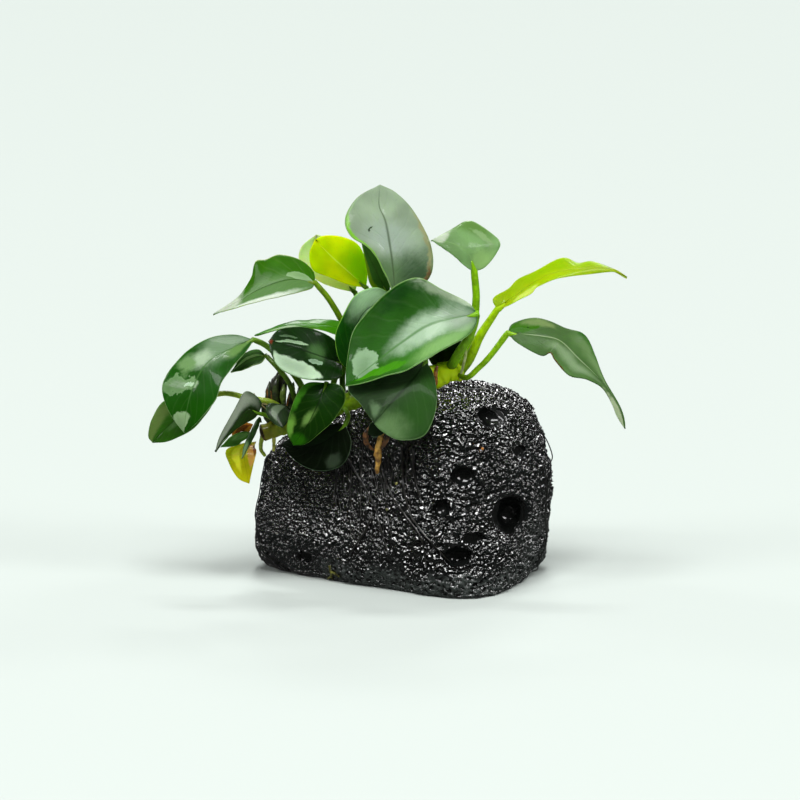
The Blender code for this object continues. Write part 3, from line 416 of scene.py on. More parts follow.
        rib=((9.4, 60.2, 7.8), (12.8, 61.0, 7.0)),
        left=((8.0, 61.6, 7.4), (11.4, 63.8, 6.2), (14.4, 63.4, 6.2)),
        right=((8.6, 56.0, 10.8), (11.2, 56.5, 10.8), (14.0, 59.0, 7.6)),
        fold=0.3),
    "leaf_lime": dict(
        base=(-8.4, 75.6, 14.5), tip=(-21.2, 87.6, 13.5),
        rib=((-13.0, 79.6, 14.6), (-17.6, 83.8, 14.2)),
        left=((-12.5, 76.2, 14.2), (-17.8, 78.2, 13.6), (-21.7, 80.0, 13.0), (-22.6, 84.0, 12.8)),
        right=((-8.2, 80.4, 15.6), (-10.0, 85.8, 16.0), (-13.8, 88.1, 15.6), (-18.4, 88.6, 14.6)),
        fold=0.3),
    "leaf_lime_back": dict(
        base=(-11.2, 74.4, 17.5), tip=(-21.0, 88.8, 19.0),
        rib=((-16.0, 79.6, 18.0), (-20.0, 84.6, 18.6)),
        left=((-15.8, 75.4, 17.0), (-21.0, 77.6, 17.0), (-25.0, 81.8, 17.6), (-24.6, 85.8, 18.4)),
        right=((-10.6, 79.0, 18.4), (-12.6, 84.6, 19.2), (-16.6, 87.8, 19.4)),
        fold=0.3),
    "leaf_upper_left": dict(
        base=(-21.2, 76.8, 8.0), tip=(-46.5, 68.8, 1.5),
        rib=((-27.6, 77.4, 6.4), (-34.6, 75.2, 4.6), (-41.0, 71.6, 2.8)),
        left=((-22.2, 75.2, 6.6), (-26.8, 74.0, 3.8), (-33.7, 72.4, 2.2), (-39.6, 70.8, 1.8)),
        right=((-21.6, 79.6, 9.4), (-24.8, 82.3, 10.8), (-29.8, 83.8, 11.2), (-33.4, 82.6, 10.0),
               (-36.0, 82.0, 9.0), (-36.8, 78.4, 7.2), (-40.2, 73.4, 4.4)),
        fold=0.3),
}

# How each leaf looks: its colour, rim and midrib, and patches of another colour, each by its middle
# (across, along), half widths, turn in degrees, softness of its border and colour. Some patches are the
# leaf's own colour; many are painted sheen, painted highlights and painted reflections. A patch with a
# border under 0.15 is a film of water, with its shine painted in as a paler colour. glow is how much
# light comes through, grain how wrinkled, gloss the share of leafFinish's coat that it has; dry
# leaves have none.
leafLooks = {
    # leaf_top: its pale sage colour is partly a painted sheen, and its first patch is a painted sheen
    "leaf_top": dict(
        main=(136, 155, 128), slot="leaf_sage", rim=(124, 148, 96), midrib=(66, 84, 56), rough=0.42, grain=2.2,
        coloursAndSheens=((0.5, 0.5, 0.35, 0.2, 0, 0.9, (146, 161, 147)), (0.5, 0.16, 0.75, 0.2, 0, 0.6, (88, 116, 76)),
                 (0.85, 0.25, 0.3, 0.2, 0, 0.8, (62, 84, 58)), (0.02, 0.4, 0.05, 0.35, 0, 0.5, (110, 170, 40)),
                 (0.98, 0.5, 0.04, 0.25, 0, 0.5, (134, 136, 98)), (0.98, 0.25, 0.03, 0.1, 0, 0.5, (104, 80, 54)),
                 (0.28, 0.6, 0.03, 0.012, 20, 0.3, (48, 62, 42)))),
    "leaf_top_back": dict(
        main=(60, 104, 32), slot="leaf_dark", rim=(76, 130, 24),
        coloursAndSheens=((0.0, 0.6, 0.22, 0.6, 0, 0.3, (110, 144, 14)),)),
    # leaf_centre: the pale patches are painted sheen, the one with the sharpest border a painted reflection on a
    # film of water, and the dark patch at the left margin painted shade
    "leaf_centre": dict(
        main=(30, 80, 8), slot="leaf_green", rim=(130, 168, 100), midrib=(64, 112, 46), grain=1.2,
        coloursAndSheens=((0.75, 0.4, 0.3, 0.4, -10, 0.8, (52, 106, 30)), (0.5, 0.36, 0.17, 0.3, -8, 0.7, (148, 173, 144)),
                 (0.6, 0.34, 0.14, 0.2, -6, 0.9, (152, 178, 148)), (0.88, 0.31, 0.15, 0.26, 0, 0.7, (112, 154, 86)),
                 (0.03, 0.1, 0.1, 0.08, 0, 0.6, (172, 188, 160)),
                 (0.45, 0.1, 0.4, 0.13, 0, 0.8, (128, 149, 124)), (0.04, 0.22, 0.1, 0.14, 0, 0.6, (116, 134, 106)),
                 (0.06, 0.45, 0.16, 0.12, 0, 0.8, (8, 52, 1)), (0.45, 0.83, 0.33, 0.1, 0, 0.1, (134, 164, 128)),
                 (0.76, 0.76, 0.1, 0.2, 30, 0.2, (58, 126, 14)))),
    # leaf_centre_left: its first, pale patch is a painted sheen
    "leaf_centre_left": dict(
        main=(17, 69, 7), slot="leaf_sage", rim=(128, 190, 60), coloursAndSheens=(
            (0.3, 0.78, 0.45, 0.26, 0, 0.7, (154, 192, 146)), (0.8, 0.7, 0.1, 0.4, 0, 0.5, (60, 120, 30)))),
    # leaf_left_glossy: its four patches with sharp borders are painted reflections and a painted glint
    "leaf_left_glossy": dict(
        main=(14, 42, 6), slot="leaf_dark", rim=(80, 116, 60), grain=1.6, coloursAndSheens=(
            (0.55, 0.4, 0.22, 0.12, 0, 0.8, (64, 98, 52)), (0.12, 0.63, 0.17, 0.26, 0, 0.14, (180, 206, 174)),
            (0.62, 0.72, 0.04, 0.2, 10, 0.1, (150, 178, 142)), (0.34, 0.42, 0.04, 0.08, 0, 0.12, (140, 170, 140)),
            (0.76, 0.76, 0.03, 0.1, -12, 0.12, (90, 116, 84)), (0.5, 1.0, 0.4, 0.06, 0, 0.3, (104, 40, 20)))),
    # leaf_left_thin: its second, pale patch is a painted sheen
    "leaf_left_thin": dict(
        main=(50, 112, 5), slot="leaf_green", rim=(110, 168, 50), coloursAndSheens=(
            (0.5, 0.2, 0.5, 0.3, 0, 0.6, (54, 118, 5)), (0.15, 0.72, 0.3, 0.18, 0, 0.5, (140, 166, 128)))),
    # leaf_left_large: all its patches but the second are painted sheens, painted reflections on films of water and
    # a painted glint
    "leaf_left_large": dict(
        main=(20, 72, 1), slot="leaf_green", rim=(136, 168, 110), midrib=(56, 98, 40), coloursAndSheens=(
            (0.68, 0.24, 0.4, 0.22, -20, 0.6, (100, 127, 94)), (0.35, 0.14, 0.2, 0.16, 0, 0.5, (86, 122, 60)),
            (0.66, 0.42, 0.2, 0.1, 0, 0.7, (146, 168, 138)), (0.8, 0.5, 0.16, 0.08, 0, 0.5, (100, 134, 82)),
            (0.72, 0.645, 0.3, 0.065, 8, 0.1, (108, 140, 94)), (0.58, 0.625, 0.08, 0.022, 8, 0.1, (176, 204, 172)),
            (0.8, 0.95, 0.5, 0.09, 10, 0.14, (134, 160, 118)))),
    "leaf_left_low": dict(
        main=(38, 80, 12), slot="leaf_green", rim=(120, 150, 96),
        coloursAndSheens=((0.85, 0.75, 0.18, 0.35, 0, 0.5, (80, 101, 48)), (0.4, 0.55, 0.1, 0.2, 0, 0.5, (68, 100, 52)))),
    # leaf_left_small: its grey patch is a painted sheen
    "leaf_left_small": dict(
        main=(26, 46, 12), slot="leaf_dark", rim=(110, 132, 96),
        coloursAndSheens=((0.8, 0.6, 0.24, 0.5, 0, 0.5, (124, 132, 117)),)),
    "leaf_left_narrow": dict(
        main=(22, 46, 14), slot="leaf_dark", rim=(110, 136, 84),
        coloursAndSheens=((0.5, 0.9, 0.5, 0.2, 0, 0.5, (90, 116, 78)),)),
    "leaf_left_tiny": dict(
        main=(52, 96, 24), slot="leaf_green", rim=(110, 150, 76),
        coloursAndSheens=((0.6, 0.4, 0.3, 0.3, 0, 0.4, (84, 124, 62)),)),
    "leaf_yellowed": dict(
        main=(172, 164, 6), slot="leaf_olive", rim=(190, 170, 60), glow=0.5, grain=1.8, coloursAndSheens=(
            (0.82, 0.42, 0.22, 0.32, 0, 0.2, (186, 138, 64)), (0.95, 0.3, 0.12, 0.2, 0, 0.2, (110, 58, 18)),
            (0.25, 0.5, 0.12, 0.3, 0, 0.4, (190, 184, 40)))),
    "leaf_scrap_dry": dict(
        main=(158, 98, 26), slot="leaf_dry", rim=(200, 150, 66), dry=True, grain=2.5,
        coloursAndSheens=((0.5, 0.5, 0.2, 0.4, 0, 0.3, (96, 52, 16)),)),
    # leaf_low_left: its first patch is a painted sheen
    "leaf_low_left": dict(
        main=(12, 42, 2), slot="leaf_green", rim=(110, 152, 64), gloss=0.6, coloursAndSheens=(
            (0.44, 0.56, 0.09, 0.16, 24, 0.8, (92, 126, 60)), (0.03, 0.3, 0.1, 0.3, 0, 0.5, (50, 104, 20)),
            (0.1, 0.76, 0.12, 0.16, 0, 0.6, (92, 136, 50)),
            (0.5, 0.92, 0.5, 0.12, 0, 0.5, (28, 80, 2)))),
    # leaf_low_right: its near-black midrib is the painted shadow in the crease where it is folded
    "leaf_low_right": dict(
        main=(40, 60, 34), slot="leaf_green", rim=(116, 150, 96), midrib=(16, 34, 12), grain=1.3, gloss=0.3,
        coloursAndSheens=(
            (0.78, 0.45, 0.3, 0.6, 0, 0.9, (38, 72, 26)), (0.8, 0.87, 0.3, 0.2, 0, 0.7, (84, 112, 70)),
            (0.3, 0.85, 0.12, 0.1, 0, 0.7, (84, 108, 76)))),
    "leaf_rhizome_small": dict(
        main=(36, 54, 28), slot="leaf_dark", rim=(96, 124, 80),
        coloursAndSheens=((0.7, 0.5, 0.15, 0.3, 0, 0.3, (88, 104, 80)),)),
    "leaf_left_inner": dict(
        main=(50, 92, 26), slot="leaf_green", rim=(140, 170, 96), coloursAndSheens=(
            (0.6, 0.5, 0.1, 0.5, 0, 0.4, (120, 156, 90)), (0.1, 0.4, 0.2, 0.5, 0, 0.4, (30, 60, 14)))),
    # leaf_on_stone: its near-black colour is partly painted shade, for the shadow it lies in against the stone
    "leaf_on_stone": dict(
        main=(7, 16, 4), slot="leaf_dark", rim=(84, 110, 80),
        coloursAndSheens=((0.12, 0.42, 0.1, 0.1, 0, 0.5, (41, 52, 38)), (0.6, 0.4, 0.2, 0.3, 0, 0.8, (14, 30, 8)))),
    "leaf_on_stone_small": dict(main=(14, 28, 10), slot="leaf_dark", rim=(84, 110, 80)),
    "leaf_upper_right": dict(
        main=(114, 152, 94), slot="leaf_sage", rim=(140, 172, 112), midrib=(116, 152, 92), grain=1.3, coloursAndSheens=(
            (0.7, 0.9, 0.4, 0.14, 0, 0.4, (170, 184, 160)), (0.75, 0.14, 0.3, 0.16, 0, 0.5, (130, 166, 100)),
            (0.93, 0.57, 0.12, 0.2, 0, 0.6, (86, 122, 58)), (0.88, 0.42, 0.04, 0.14, 0, 0.4, (120, 150, 100)))),
    "leaf_young_long": dict(
        main=(148, 171, 3), slot="leaf_lime", rim=(176, 198, 50), midrib=(120, 152, 8), glow=0.6,
        coloursAndSheens=((0.9, 0.25, 0.25, 0.12, 0, 0.3, (182, 200, 80)), (0.2, 0.55, 0.2, 0.4, 0, 0.6, (134, 164, 2)))),
    "leaf_right_drooping": dict(
        main=(76, 108, 58), slot="leaf_green", rim=(48, 76, 30), midrib=(140, 160, 120), rough=0.36, grain=1.5,
        gloss=0.3, coloursAndSheens=(
            (0.24, 0.09, 0.2, 0.09, 0, 0.25, (48, 98, 2)), (0.0, 0.56, 0.14, 0.16, 0, 0.3, (34, 82, 10)),
            (0.25, 0.13, 0.02, 0.012, 0, 0.2, (14, 24, 8)), (1.0, 0.37, 0.03, 0.07, 0, 0.3, (96, 62, 26)),
            (0.85, 0.88, 0.5, 0.14, 0, 0.3, (154, 168, 132)), (0.7, 0.45, 0.14, 0.2, 0, 0.9, (118, 142, 104)),
            (0.2, 0.64, 0.2, 0.2, 0, 0.8, (102, 130, 82)), (0.12, 0.2, 0.12, 0.1, 0, 0.6, (108, 130, 78)))),
    # leaf_dark_inner: its near-black colour is partly painted shade, for the shadowed gap it fills
    "leaf_dark_inner": dict(
        main=(10, 28, 5), slot="leaf_dark", rim=(40, 80, 16),
        coloursAndSheens=((0.3, 0.6, 0.3, 0.3, 0, 0.8, (16, 48, 6)),)),
    # leaf_lime: its very bright lime is partly painted light, for the light that shines through it from behind
    "leaf_lime": dict(
        main=(202, 218, 2), slot="leaf_lime", rim=(176, 202, 20), midrib=(206, 222, 70), glow=1.0, coloursAndSheens=(
            (0.72, 0.26, 0.42, 0.34, 20, 0.7, (150, 186, 2)), (0.57, 0.96, 0.03, 0.02, 0, 0.2, (60, 80, 10)))),
    # leaf_lime_back: its pale colour and its second patch are partly painted light, for the light that shines
    # through it from behind
    "leaf_lime_back": dict(
        main=(182, 200, 136), slot="leaf_green", rim=(200, 216, 150), glow=0.8,
        coloursAndSheens=((0.2, 0.5, 0.2, 0.4, 0, 0.5, (192, 208, 150)), (0.25, 0.16, 0.6, 0.34, 0, 0.5, (238, 250, 160)))),
    # leaf_upper_left: its second and fourth patches are painted sheen, its third a painted reflection on a film of
    # water
    "leaf_upper_left": dict(
        main=(46, 98, 3), slot="leaf_green", rim=(176, 194, 110), grain=1.3, gloss=0.5, coloursAndSheens=(
            (0.28, 0.4, 0.4, 0.7, 0, 0.3, (80, 116, 62)), (0.08, 0.55, 0.13, 0.4, 0, 0.6, (190, 202, 184)),
            (0.62, 0.14, 0.11, 0.12, 0, 0.1, (134, 164, 118)), (0.6, 0.87, 0.6, 0.16, 0, 0.4, (168, 180, 158)))),
}
leafFinish = dict(
    rough=0.34, dryRough=0.6, roughSpread=(-0.1, 0.14), wetRough=0.07, wetDulls=0.05,
    coat=0.16, coatRoughness=0.05, coatIor=1.4, specular=0.08, glow=0.1, lightDepth=0.002,
    lightColours=(0.5, 1.0, 0.2), mottle=(520.0, 5.0, 0.62), wide=(130.0, 2.0), warpNoise=(300.0, 3.0, 0.6),
    speckles=(2600.0, 3.0, 0.7), veins=8.0, lean=0.34, leanCurve=0.8, waver=0.12, veinTint=0.025,
    wrinkles=(46.0, 6.0), midribTint=0.75, rimTint=0.6, streaks=0.5, warp=0.16,
    grainDepth=0.00011, relief=dict(mottle=0.5, wrinkle=0.5, vein=-0.3, wet=0.35),
)
# A film of water's painted reflection is darker inside its border, so it shines most along it: how
# far the dark part is moved, its size and its share.
paintedFilmShine = dict(across=0.2, along=0.15, size=0.95, soft=0.9, share=0.4)
underside = dict(
    pale=(120, 160, 84), paleShare=0.38, mottle=(500.0, 4.0, 0.6), veins=16.0, lean=0.7, veinTint=0.12,
    midribTint=0.6, grainDepth=0.00012, rough=0.42, coat=0.2, coatRoughness=0.12, specular=0.35,
)


def spotMask(tree, uv, u, v, halfAcross, halfAlong, turn, soft):
    settled = addNode(tree, "Mapping", {
        "Vector": uv, "Location": (u, v, 0.0), "Rotation": (0.0, 0.0, math.radians(turn)),
        "Scale": (halfAcross, halfAlong, 1.0)}, vector_type="TEXTURE").outputs["Vector"]
    far = addNode(tree, "VectorMath", {0: settled}, operation="LENGTH").outputs["Value"]
    return rise(tree, far, 1 + soft / 2, 1 - soft)


def banded(tree, phase, count, width):
    return rise(tree, compute(tree, "PINGPONG", times(tree, phase, count), 1.0), width, 0.0)


def paintColoursAndSheens(tree, look, colour, uv, streaks):
    # returns the colour with its painted sheens and painted reflections, and where the films of water are
    wet = 0.0
    for u, v, halfAcross, halfAlong, turn, soft, patch in look.get("coloursAndSheens", ()):
        mask = spotMask(tree, uv, u, v, halfAcross, halfAlong, turn, soft)
        # soft patches, most of them painted sheens, break up into streaks
        if soft > 0.4:  # a sheen breaks up into streaks
            mask = compute(tree, "ADD", mask, times(tree, streaks, mask), use_clamp=True)
        # a film's shine is a painted reflection, brighter along its border
        elif soft < 0.15:  # a film of water shines unevenly, most along its border
            wet = compute(tree, "MAXIMUM", wet, mask)
            u, v = u + halfAcross * paintedFilmShine["across"], v + halfAlong * paintedFilmShine["along"]
            size = paintedFilmShine["size"]
            inner = spotMask(tree, uv, u, v, halfAcross * size, halfAlong * size, turn, paintedFilmShine["soft"])
            mask = times(tree, mask, plus(tree, 1.0, inner, -paintedFilmShine["share"]))
        # each patch is painted into the colour: the leaf's own colour, or a painted sheen, highlight or reflection
        colour = blendColour(tree, mask, colour, tone(*patch))
    return colour, wet


def leafMaterial(name, look):
    material, tree, shader = newMaterial(name + "_skin")
    main, rim = look["main"], tone(*look["rim"])
    uv = addNode(tree, "UVMap", uv_map="blade").outputs["UV"]
    place = objectPlace(tree)
    across, along, _ = splitVector(tree, uv)
    side = times(tree, compute(tree, "ABSOLUTE", plus(tree, across, -0.5)), 2.0)
    mottle = noiseOn(tree, place, *leafFinish["mottle"])
    wide = noiseOn(tree, place, *leafFinish["wide"])
    # side veins leave the midrib and lean towards the tip
    leaning = plus(tree, along, compute(tree, "POWER", side, leafFinish["leanCurve"]), -leafFinish["lean"])
    phase = plus(tree, leaning, wide, leafFinish["waver"])
    vein = banded(tree, phase, leafFinish["veins"] * 2, 0.3)
    # fine wrinkles run with the veins
    close, loose = leafFinish["wrinkles"]
    ridges = addNode(tree, "CombineXYZ", {"X": times(tree, phase, close), "Y": times(tree, side, loose)})
    wrinkle = noiseOn(tree, ridges.outputs["Vector"], 1.0, 4.0, 0.6)
    colour = blendColour(tree, rise(tree, wide, 0.35, 0.7), tone(*main), faded(main, 0.86))
    # patches have wavering borders
    stray = noiseOn(tree, place, *leafFinish["warpNoise"], output="Color")
    stray = addNode(tree, "VectorMath", {0: stray, 1: (0.5, 0.5, 0.5)}, operation="SUBTRACT").outputs["Vector"]
    reach = (leafFinish["warp"], leafFinish["warp"], 0.0)
    warped = addNode(tree, "VectorMath", {0: stray, 1: reach, 2: uv}, operation="MULTIPLY_ADD")
    streaks = times(tree, plus(tree, wrinkle, -0.5), leafFinish["streaks"])
    colour, wet = paintColoursAndSheens(tree, look, colour, warped.outputs["Vector"], streaks)
    colour = blendColour(tree, times(tree, vein, leafFinish["veinTint"]), colour, rim)
    midrib = times(tree, rise(tree, plus(tree, side, along, 0.03), 0.075, 0.02), leafFinish["midribTint"])
    ribColour = tone(*look["midrib"]) if "midrib" in look else faded(main, 0.7)
    colour = blendColour(tree, midrib, colour, ribColour)
    speckle = rise(tree, noiseOn(tree, place, *leafFinish["speckles"]), 0.6, 0.76)
    colour = blendColour(tree, times(tree, speckle, 0.3), colour, faded(main, 0.5))
    edge = rise(tree, plus(tree, side, mottle, 0.03), 0.988, 1.01)
    colour = blendColour(tree, times(tree, edge, leafFinish["rimTint"]), colour, rim)
    relief = 0.0
    for layer, share in zip((mottle, wrinkle, vein, wet), leafFinish["relief"].values()):
        relief = plus(tree, relief, layer, share)
    normal = bumpFrom(tree, relief, 0.5, leafFinish["grainDepth"] * look.get("grain", 1.0))
    rough = leafFinish["dryRough"] if look.get("dry") else look.get("rough", leafFinish["rough"])
    low, high = leafFinish["roughSpread"]
    dull = plus(tree, rough + low, compute(tree, "ADD", wrinkle, 0.0, use_clamp=True), high - low)
    dull = plus(tree, dull, wet, leafFinish["wetRough"] - rough)
    gloss = look.get("gloss", 1.0)
    finish(shader, tree, Base_Color=colour, Normal=normal,
           Roughness=compute(tree, "MAXIMUM", dull, leafFinish["wetDulls"]),
           Coat_Roughness=leafFinish["coatRoughness"], Coat_IOR=leafFinish["coatIor"],
           Coat_Weight=0.0 if look.get("dry") else leafFinish["coat"] * gloss,
           Specular_IOR_Level=leafFinish["specular"] * gloss, **lightThrough(look))
    return material


def lightThrough(look):
    return dict(Subsurface_Weight=look.get("glow", leafFinish["glow"]), Subsurface_Scale=leafFinish["lightDepth"],
                Subsurface_Radius=leafFinish["lightColours"])


def undersideMaterial(name, look):
    # paler and duller than the upper face
    material, tree, shader = newMaterial(name + "_underside")
    rim = tone(*look["rim"])
    across, along, _ = splitVector(tree, addNode(tree, "UVMap", uv_map="blade").outputs["UV"])
    side = compute(tree, "ABSOLUTE", plus(tree, across, -0.5))
    mottle = noiseOn(tree, objectPlace(tree), *underside["mottle"])
    share = underside["paleShare"]
    pale = [c * (1 - share) + p * share for c, p in zip(look["main"], underside["pale"])]
    colour = blendColour(tree, mottle, tone(*pale), faded(pale, 0.8))
    vein = banded(tree, plus(tree, along, side, -underside["lean"]), underside["veins"], 0.25)
    colour = blendColour(tree, times(tree, vein, underside["veinTint"]), colour, rim)
    midrib = times(tree, rise(tree, side, 0.045, 0.02), underside["midribTint"])
    colour = blendColour(tree, midrib, colour, rim)
    normal = bumpFrom(tree, plus(tree, mottle, vein), 0.4, underside["grainDepth"])
    finish(shader, tree, Base_Color=colour, Normal=normal, Roughness=underside["rough"],
           Coat_Weight=underside["coat"], Coat_Roughness=underside["coatRoughness"],
           Specular_IOR_Level=underside["specular"], **lightThrough(look))
    return material


def bladePoint(lines, row, side, fold):
    left, rib, right = (line[row] for line in lines)
    edge = left if side < 0 else right
    creased = rib.lerp(edge, abs(side))
    dished = left * (side**2 - side) / 2 + rib * (1 - side**2) + right * (side**2 + side) / 2
    return dished.lerp(creased, fold)


def buildLeaf(name, leaf, look):
    length = (Vector(leaf["tip"]) - Vector(leaf["base"])).length
    fewer = 1 if length > leafMesh["shortLeaf"] else 2
    rows, cells = leafMesh["along"] // fewer, leafMesh["across"] // fewer
    lines = [
        smoothLine([seen(point) for point in (leaf["base"], *leaf[line], leaf["tip"])], rows)
        for line in ("left", "rib", "right")
    ]
    bm = bmesh.new()
    bmesh.ops.create_grid(bm, x_segments=cells, y_segments=rows, size=1.0)
    blade = bm.loops.layers.uv.new("blade")
    wall = bm.verts.layers.deform.new()
    for face in bm.faces:
        for loop in face.loops:
            loop[blade].uv = ((loop.vert.co.x + 1) / 2, (loop.vert.co.y + 1) / 2)
    spots = {}
    for vert in bm.verts:
        side, row = vert.co.x, round((vert.co.y + 1) / 2 * rows)
        spots[vert] = (side, row / rows)
        vert.co = bladePoint(lines, row, side, leaf["fold"])
    bmesh.ops.recalc_face_normals(bm, faces=bm.faces)
    facing = sum((face.normal * face.calc_area() for face in bm.faces), Vector())
    if facing.dot(Vector(leafMesh["upward"])) < 0:
        bmesh.ops.reverse_faces(bm, faces=bm.faces)
    bm.normal_update()
    ripple = Vector((len(name) * 0.7, leaf["base"][0] * 0.1, 0.0))  # each leaf has ripples of its own
    (curlLong, curlWide), curlHeight = leafMesh["curl"]
    for vert, (side, share) in spots.items():
        ends = math.sin(math.pi * share) ** 0.5 if 0 < share < 1 else 0.0
        groove = math.exp(-((side / leafMesh["grooveWidth"]) ** 2)) * (1 - share * leafMesh["grooveFade"])
        wave = sum(noise.noise(vert.co * scale + ripple) * height for scale, height in leafMesh["ripples"])
        curl = noise.noise(Vector((share * curlLong, side * curlWide, 0.0)) + ripple * 3) * side**4
        push = (wave * (0.4 + 0.6 * side * side) + curl * curlHeight) * ends - groove * leafMesh["groove"]
        body = leafMesh["body"] + (leafMesh["margin"] - leafMesh["body"]) * side**6
        bulge = math.exp(-((side / leafMesh["ribWidth"]) ** 2)) * (1 - share * leafMesh["ribFade"])
        vert[wall][0] = body + (1.0 - body) * bulge
        vert.co += vert.normal * push * mm
    bmesh.ops.remove_doubles(bm, verts=bm.verts, dist=mergeWithin)
    skins = leafMaterial(name, look), undersideMaterial(name, look)
    piece = newPiece(name.replace("leaf", "blade"), bm, *skins)
    group = piece.vertex_groups.new(name="wall")
    shell = piece.modifiers.new("thickness", "SOLIDIFY")
    shell.thickness = leafMesh["thickness"] * mm
    shell.offset = 0.0
    shell.vertex_group = group.name
    shell.material_offset = 1
    standIn(piece, look["slot"], name)
    return lines[1]


ribs = {name: buildLeaf(name, leaf, leafLooks[name]) for name, leaf in leafShapes.items()}
print("leaves", len(ribs))

rhizome = dict(
    line=((-34.2, 39.3, 8.0), (-29.0, 41.0, 8.0), (-22.0, 43.3, 8.0), (-14.0, 46.6, 7.5), (-6.0, 49.4, 7.0),
          (2.0, 51.5, 7.0), (8.0, 53.0, 7.0), (12.0, 54.6, 7.0), (15.2, 54.4, 7.0)),
    radii=(2.0, 2.1, 2.2, 2.2, 2.3, 2.5, 2.8, 3.0, 2.1),
    rings=22, ring=0.22, steps=132, sides=32, knobs=0.22, knobNoises=((420, 0.7), (1100, 0.3)),
    caps=((0.86, 0.35), (0.6, 0.3), (0.25, 0.15)),  # size and push of each step of a rounded end
    # the young end's colour is its own lime, brightened as painted light for the light the leaves shade off it
    colour=(120, 156, 20), lower=(112, 112, 30), spots=(96, 74, 20), youngAndLit=(216, 254, 24),
    cut=((84, 66, 34), (30, 24, 16)),
)
# Each stem: its leaf, the share of the rhizome's length where it grows, its radius at both ends and
# its route between them.
stems = {
    "stem_top": ("leaf_top", 0.68, (1.0, 0.75), ((1.2, 60.0, 6.6), (-0.2, 67.0, 6.6))),
    "stem_top_back": ("leaf_top_back", 0.735, (0.9, 0.6), ((3.4, 60.0, 11.0), (0.4, 68.0, 13.2))),
    "stem_centre": ("leaf_centre", 0.94, (1.35, 0.85), ((14.4, 58.8, 3.6), (17.8, 64.4, 1.8))),
    "stem_centre_left": ("leaf_centre_left", 0.46, (0.9, 0.7), ((-12.2, 50.5, 5.6),)),
    "stem_left_glossy": ("leaf_left_glossy", 0.36, (0.85, 0.65), ((-16.6, 51.5, 9.6), (-15.4, 54.6, 9.0))),
    "stem_left_thin": ("leaf_left_thin", 0.42, (0.8, 0.6), ((-14.4, 53.0, 11.0), (-13.2, 60.0, 10.2))),
    "stem_left_large": ("leaf_left_large", 0.255, (0.9, 0.7),
                        ((-24.6, 51.0, 9.4), (-28.4, 56.2, 8.0), (-33.0, 60.8, 6.6))),
    "stem_left_low": ("leaf_left_low", 0.13, (0.8, 0.65),
                      ((-31.0, 46.4, 5.4), (-38.6, 48.2, 6.0), (-43.2, 49.2, 6.0))),
    "stem_left_small": ("leaf_left_small", 0.10, (0.55, 0.5), ((-32.8, 43.4, 4.8),)),
    "stem_low_left": ("leaf_low_left", 0.30, (0.8, 0.65), ((-19.4, 48.4, 5.0),)),
    "stem_low_right": ("leaf_low_right", 0.76, (0.9, 0.7), ((6.0, 55.6, 2.2),)),
    "stem_left_inner": ("leaf_left_inner", 0.19, (0.75, 0.6), ((-27.4, 51.2, 5.4), (-30.6, 55.6, 5.6))),
    "stem_on_stone": ("leaf_on_stone", 0.40, (0.65, 0.55), ((-12.9, 43.8, 1.6),)),
    "stem_on_stone_small": ("leaf_on_stone_small", 0.645, (0.5, 0.45), ((-0.6, 48.2, -0.5), (-1.2, 45.2, -7.8))),
    "stem_upper_right": ("leaf_upper_right", 0.965, (1.15, 0.9),
                         ((15.6, 58.0, 10.4), (18.2, 66.0, 10.8), (19.0, 73.0, 10.8))),
    "stem_young_long": ("leaf_young_long", 0.985, (1.45, 0.85),
                        ((17.0, 57.4, 7.0), (20.0, 63.6, 7.0), (22.6, 67.6, 6.8))),
    "stem_right_drooping": ("leaf_right_drooping", 0.965, (0.65, 0.8),
                            ((16.6, 53.1, 3.3), (19.4, 55.3, 2.9), (22.4, 58.4, 2.6))),
    "stem_dark_inner": ("leaf_dark_inner", 0.815, (0.6, 0.5), ()),
    "stem_lime": ("leaf_lime", 0.60, (0.85, 0.65), ((-3.0, 60.0, 11.5), (-6.6, 69.0, 14.0))),
    "stem_lime_back": ("leaf_lime_back", 0.54, (0.85, 0.65), ((-6.4, 59.0, 14.0), (-9.4, 69.0, 17.4))),
    "stem_upper_left": ("leaf_upper_left", 0.49, (0.9, 0.7),
                        ((-10.2, 57.0, 11.8), (-13.4, 65.0, 12.4), (-17.4, 72.2, 10.2))),
}
stemMesh = dict(
    steps=30, sides=18, flare=0.45, flareLength=0.1, rough=0.05, roughNoise=(500, 1.0),
    intoBlade=3.2, underBlade=0.25, bladeSteps=4, thinning=0.72,
)
stemFinish = dict(
    usual=(96, 138, 28), mottle=(500.0, 4.0, 0.6), streaks=(1600.0, 0.12), streakTint=0.3, lowerEnd=0.22,
    grainDepth=0.00015, rough=0.36, coat=0.15, coatRoughness=0.05, specular=0.15,
    glow=0.3, lightDepth=0.0015, lightColours=(0.6, 1.0, 0.2),
)
stemColours = {
    "stem_upper_right": (134, 190, 8), "stem_young_long": (164, 206, 4), "stem_right_drooping": (136, 186, 14),
    "stem_upper_left": (114, 150, 20), "stem_left_large": (100, 140, 34), "stem_left_low": (150, 176, 50),
    "stem_left_thin": (70, 110, 16), "stem_left_glossy": (70, 108, 18), "stem_left_inner": (74, 104, 24),
    "stem_centre": (124, 178, 26),
}


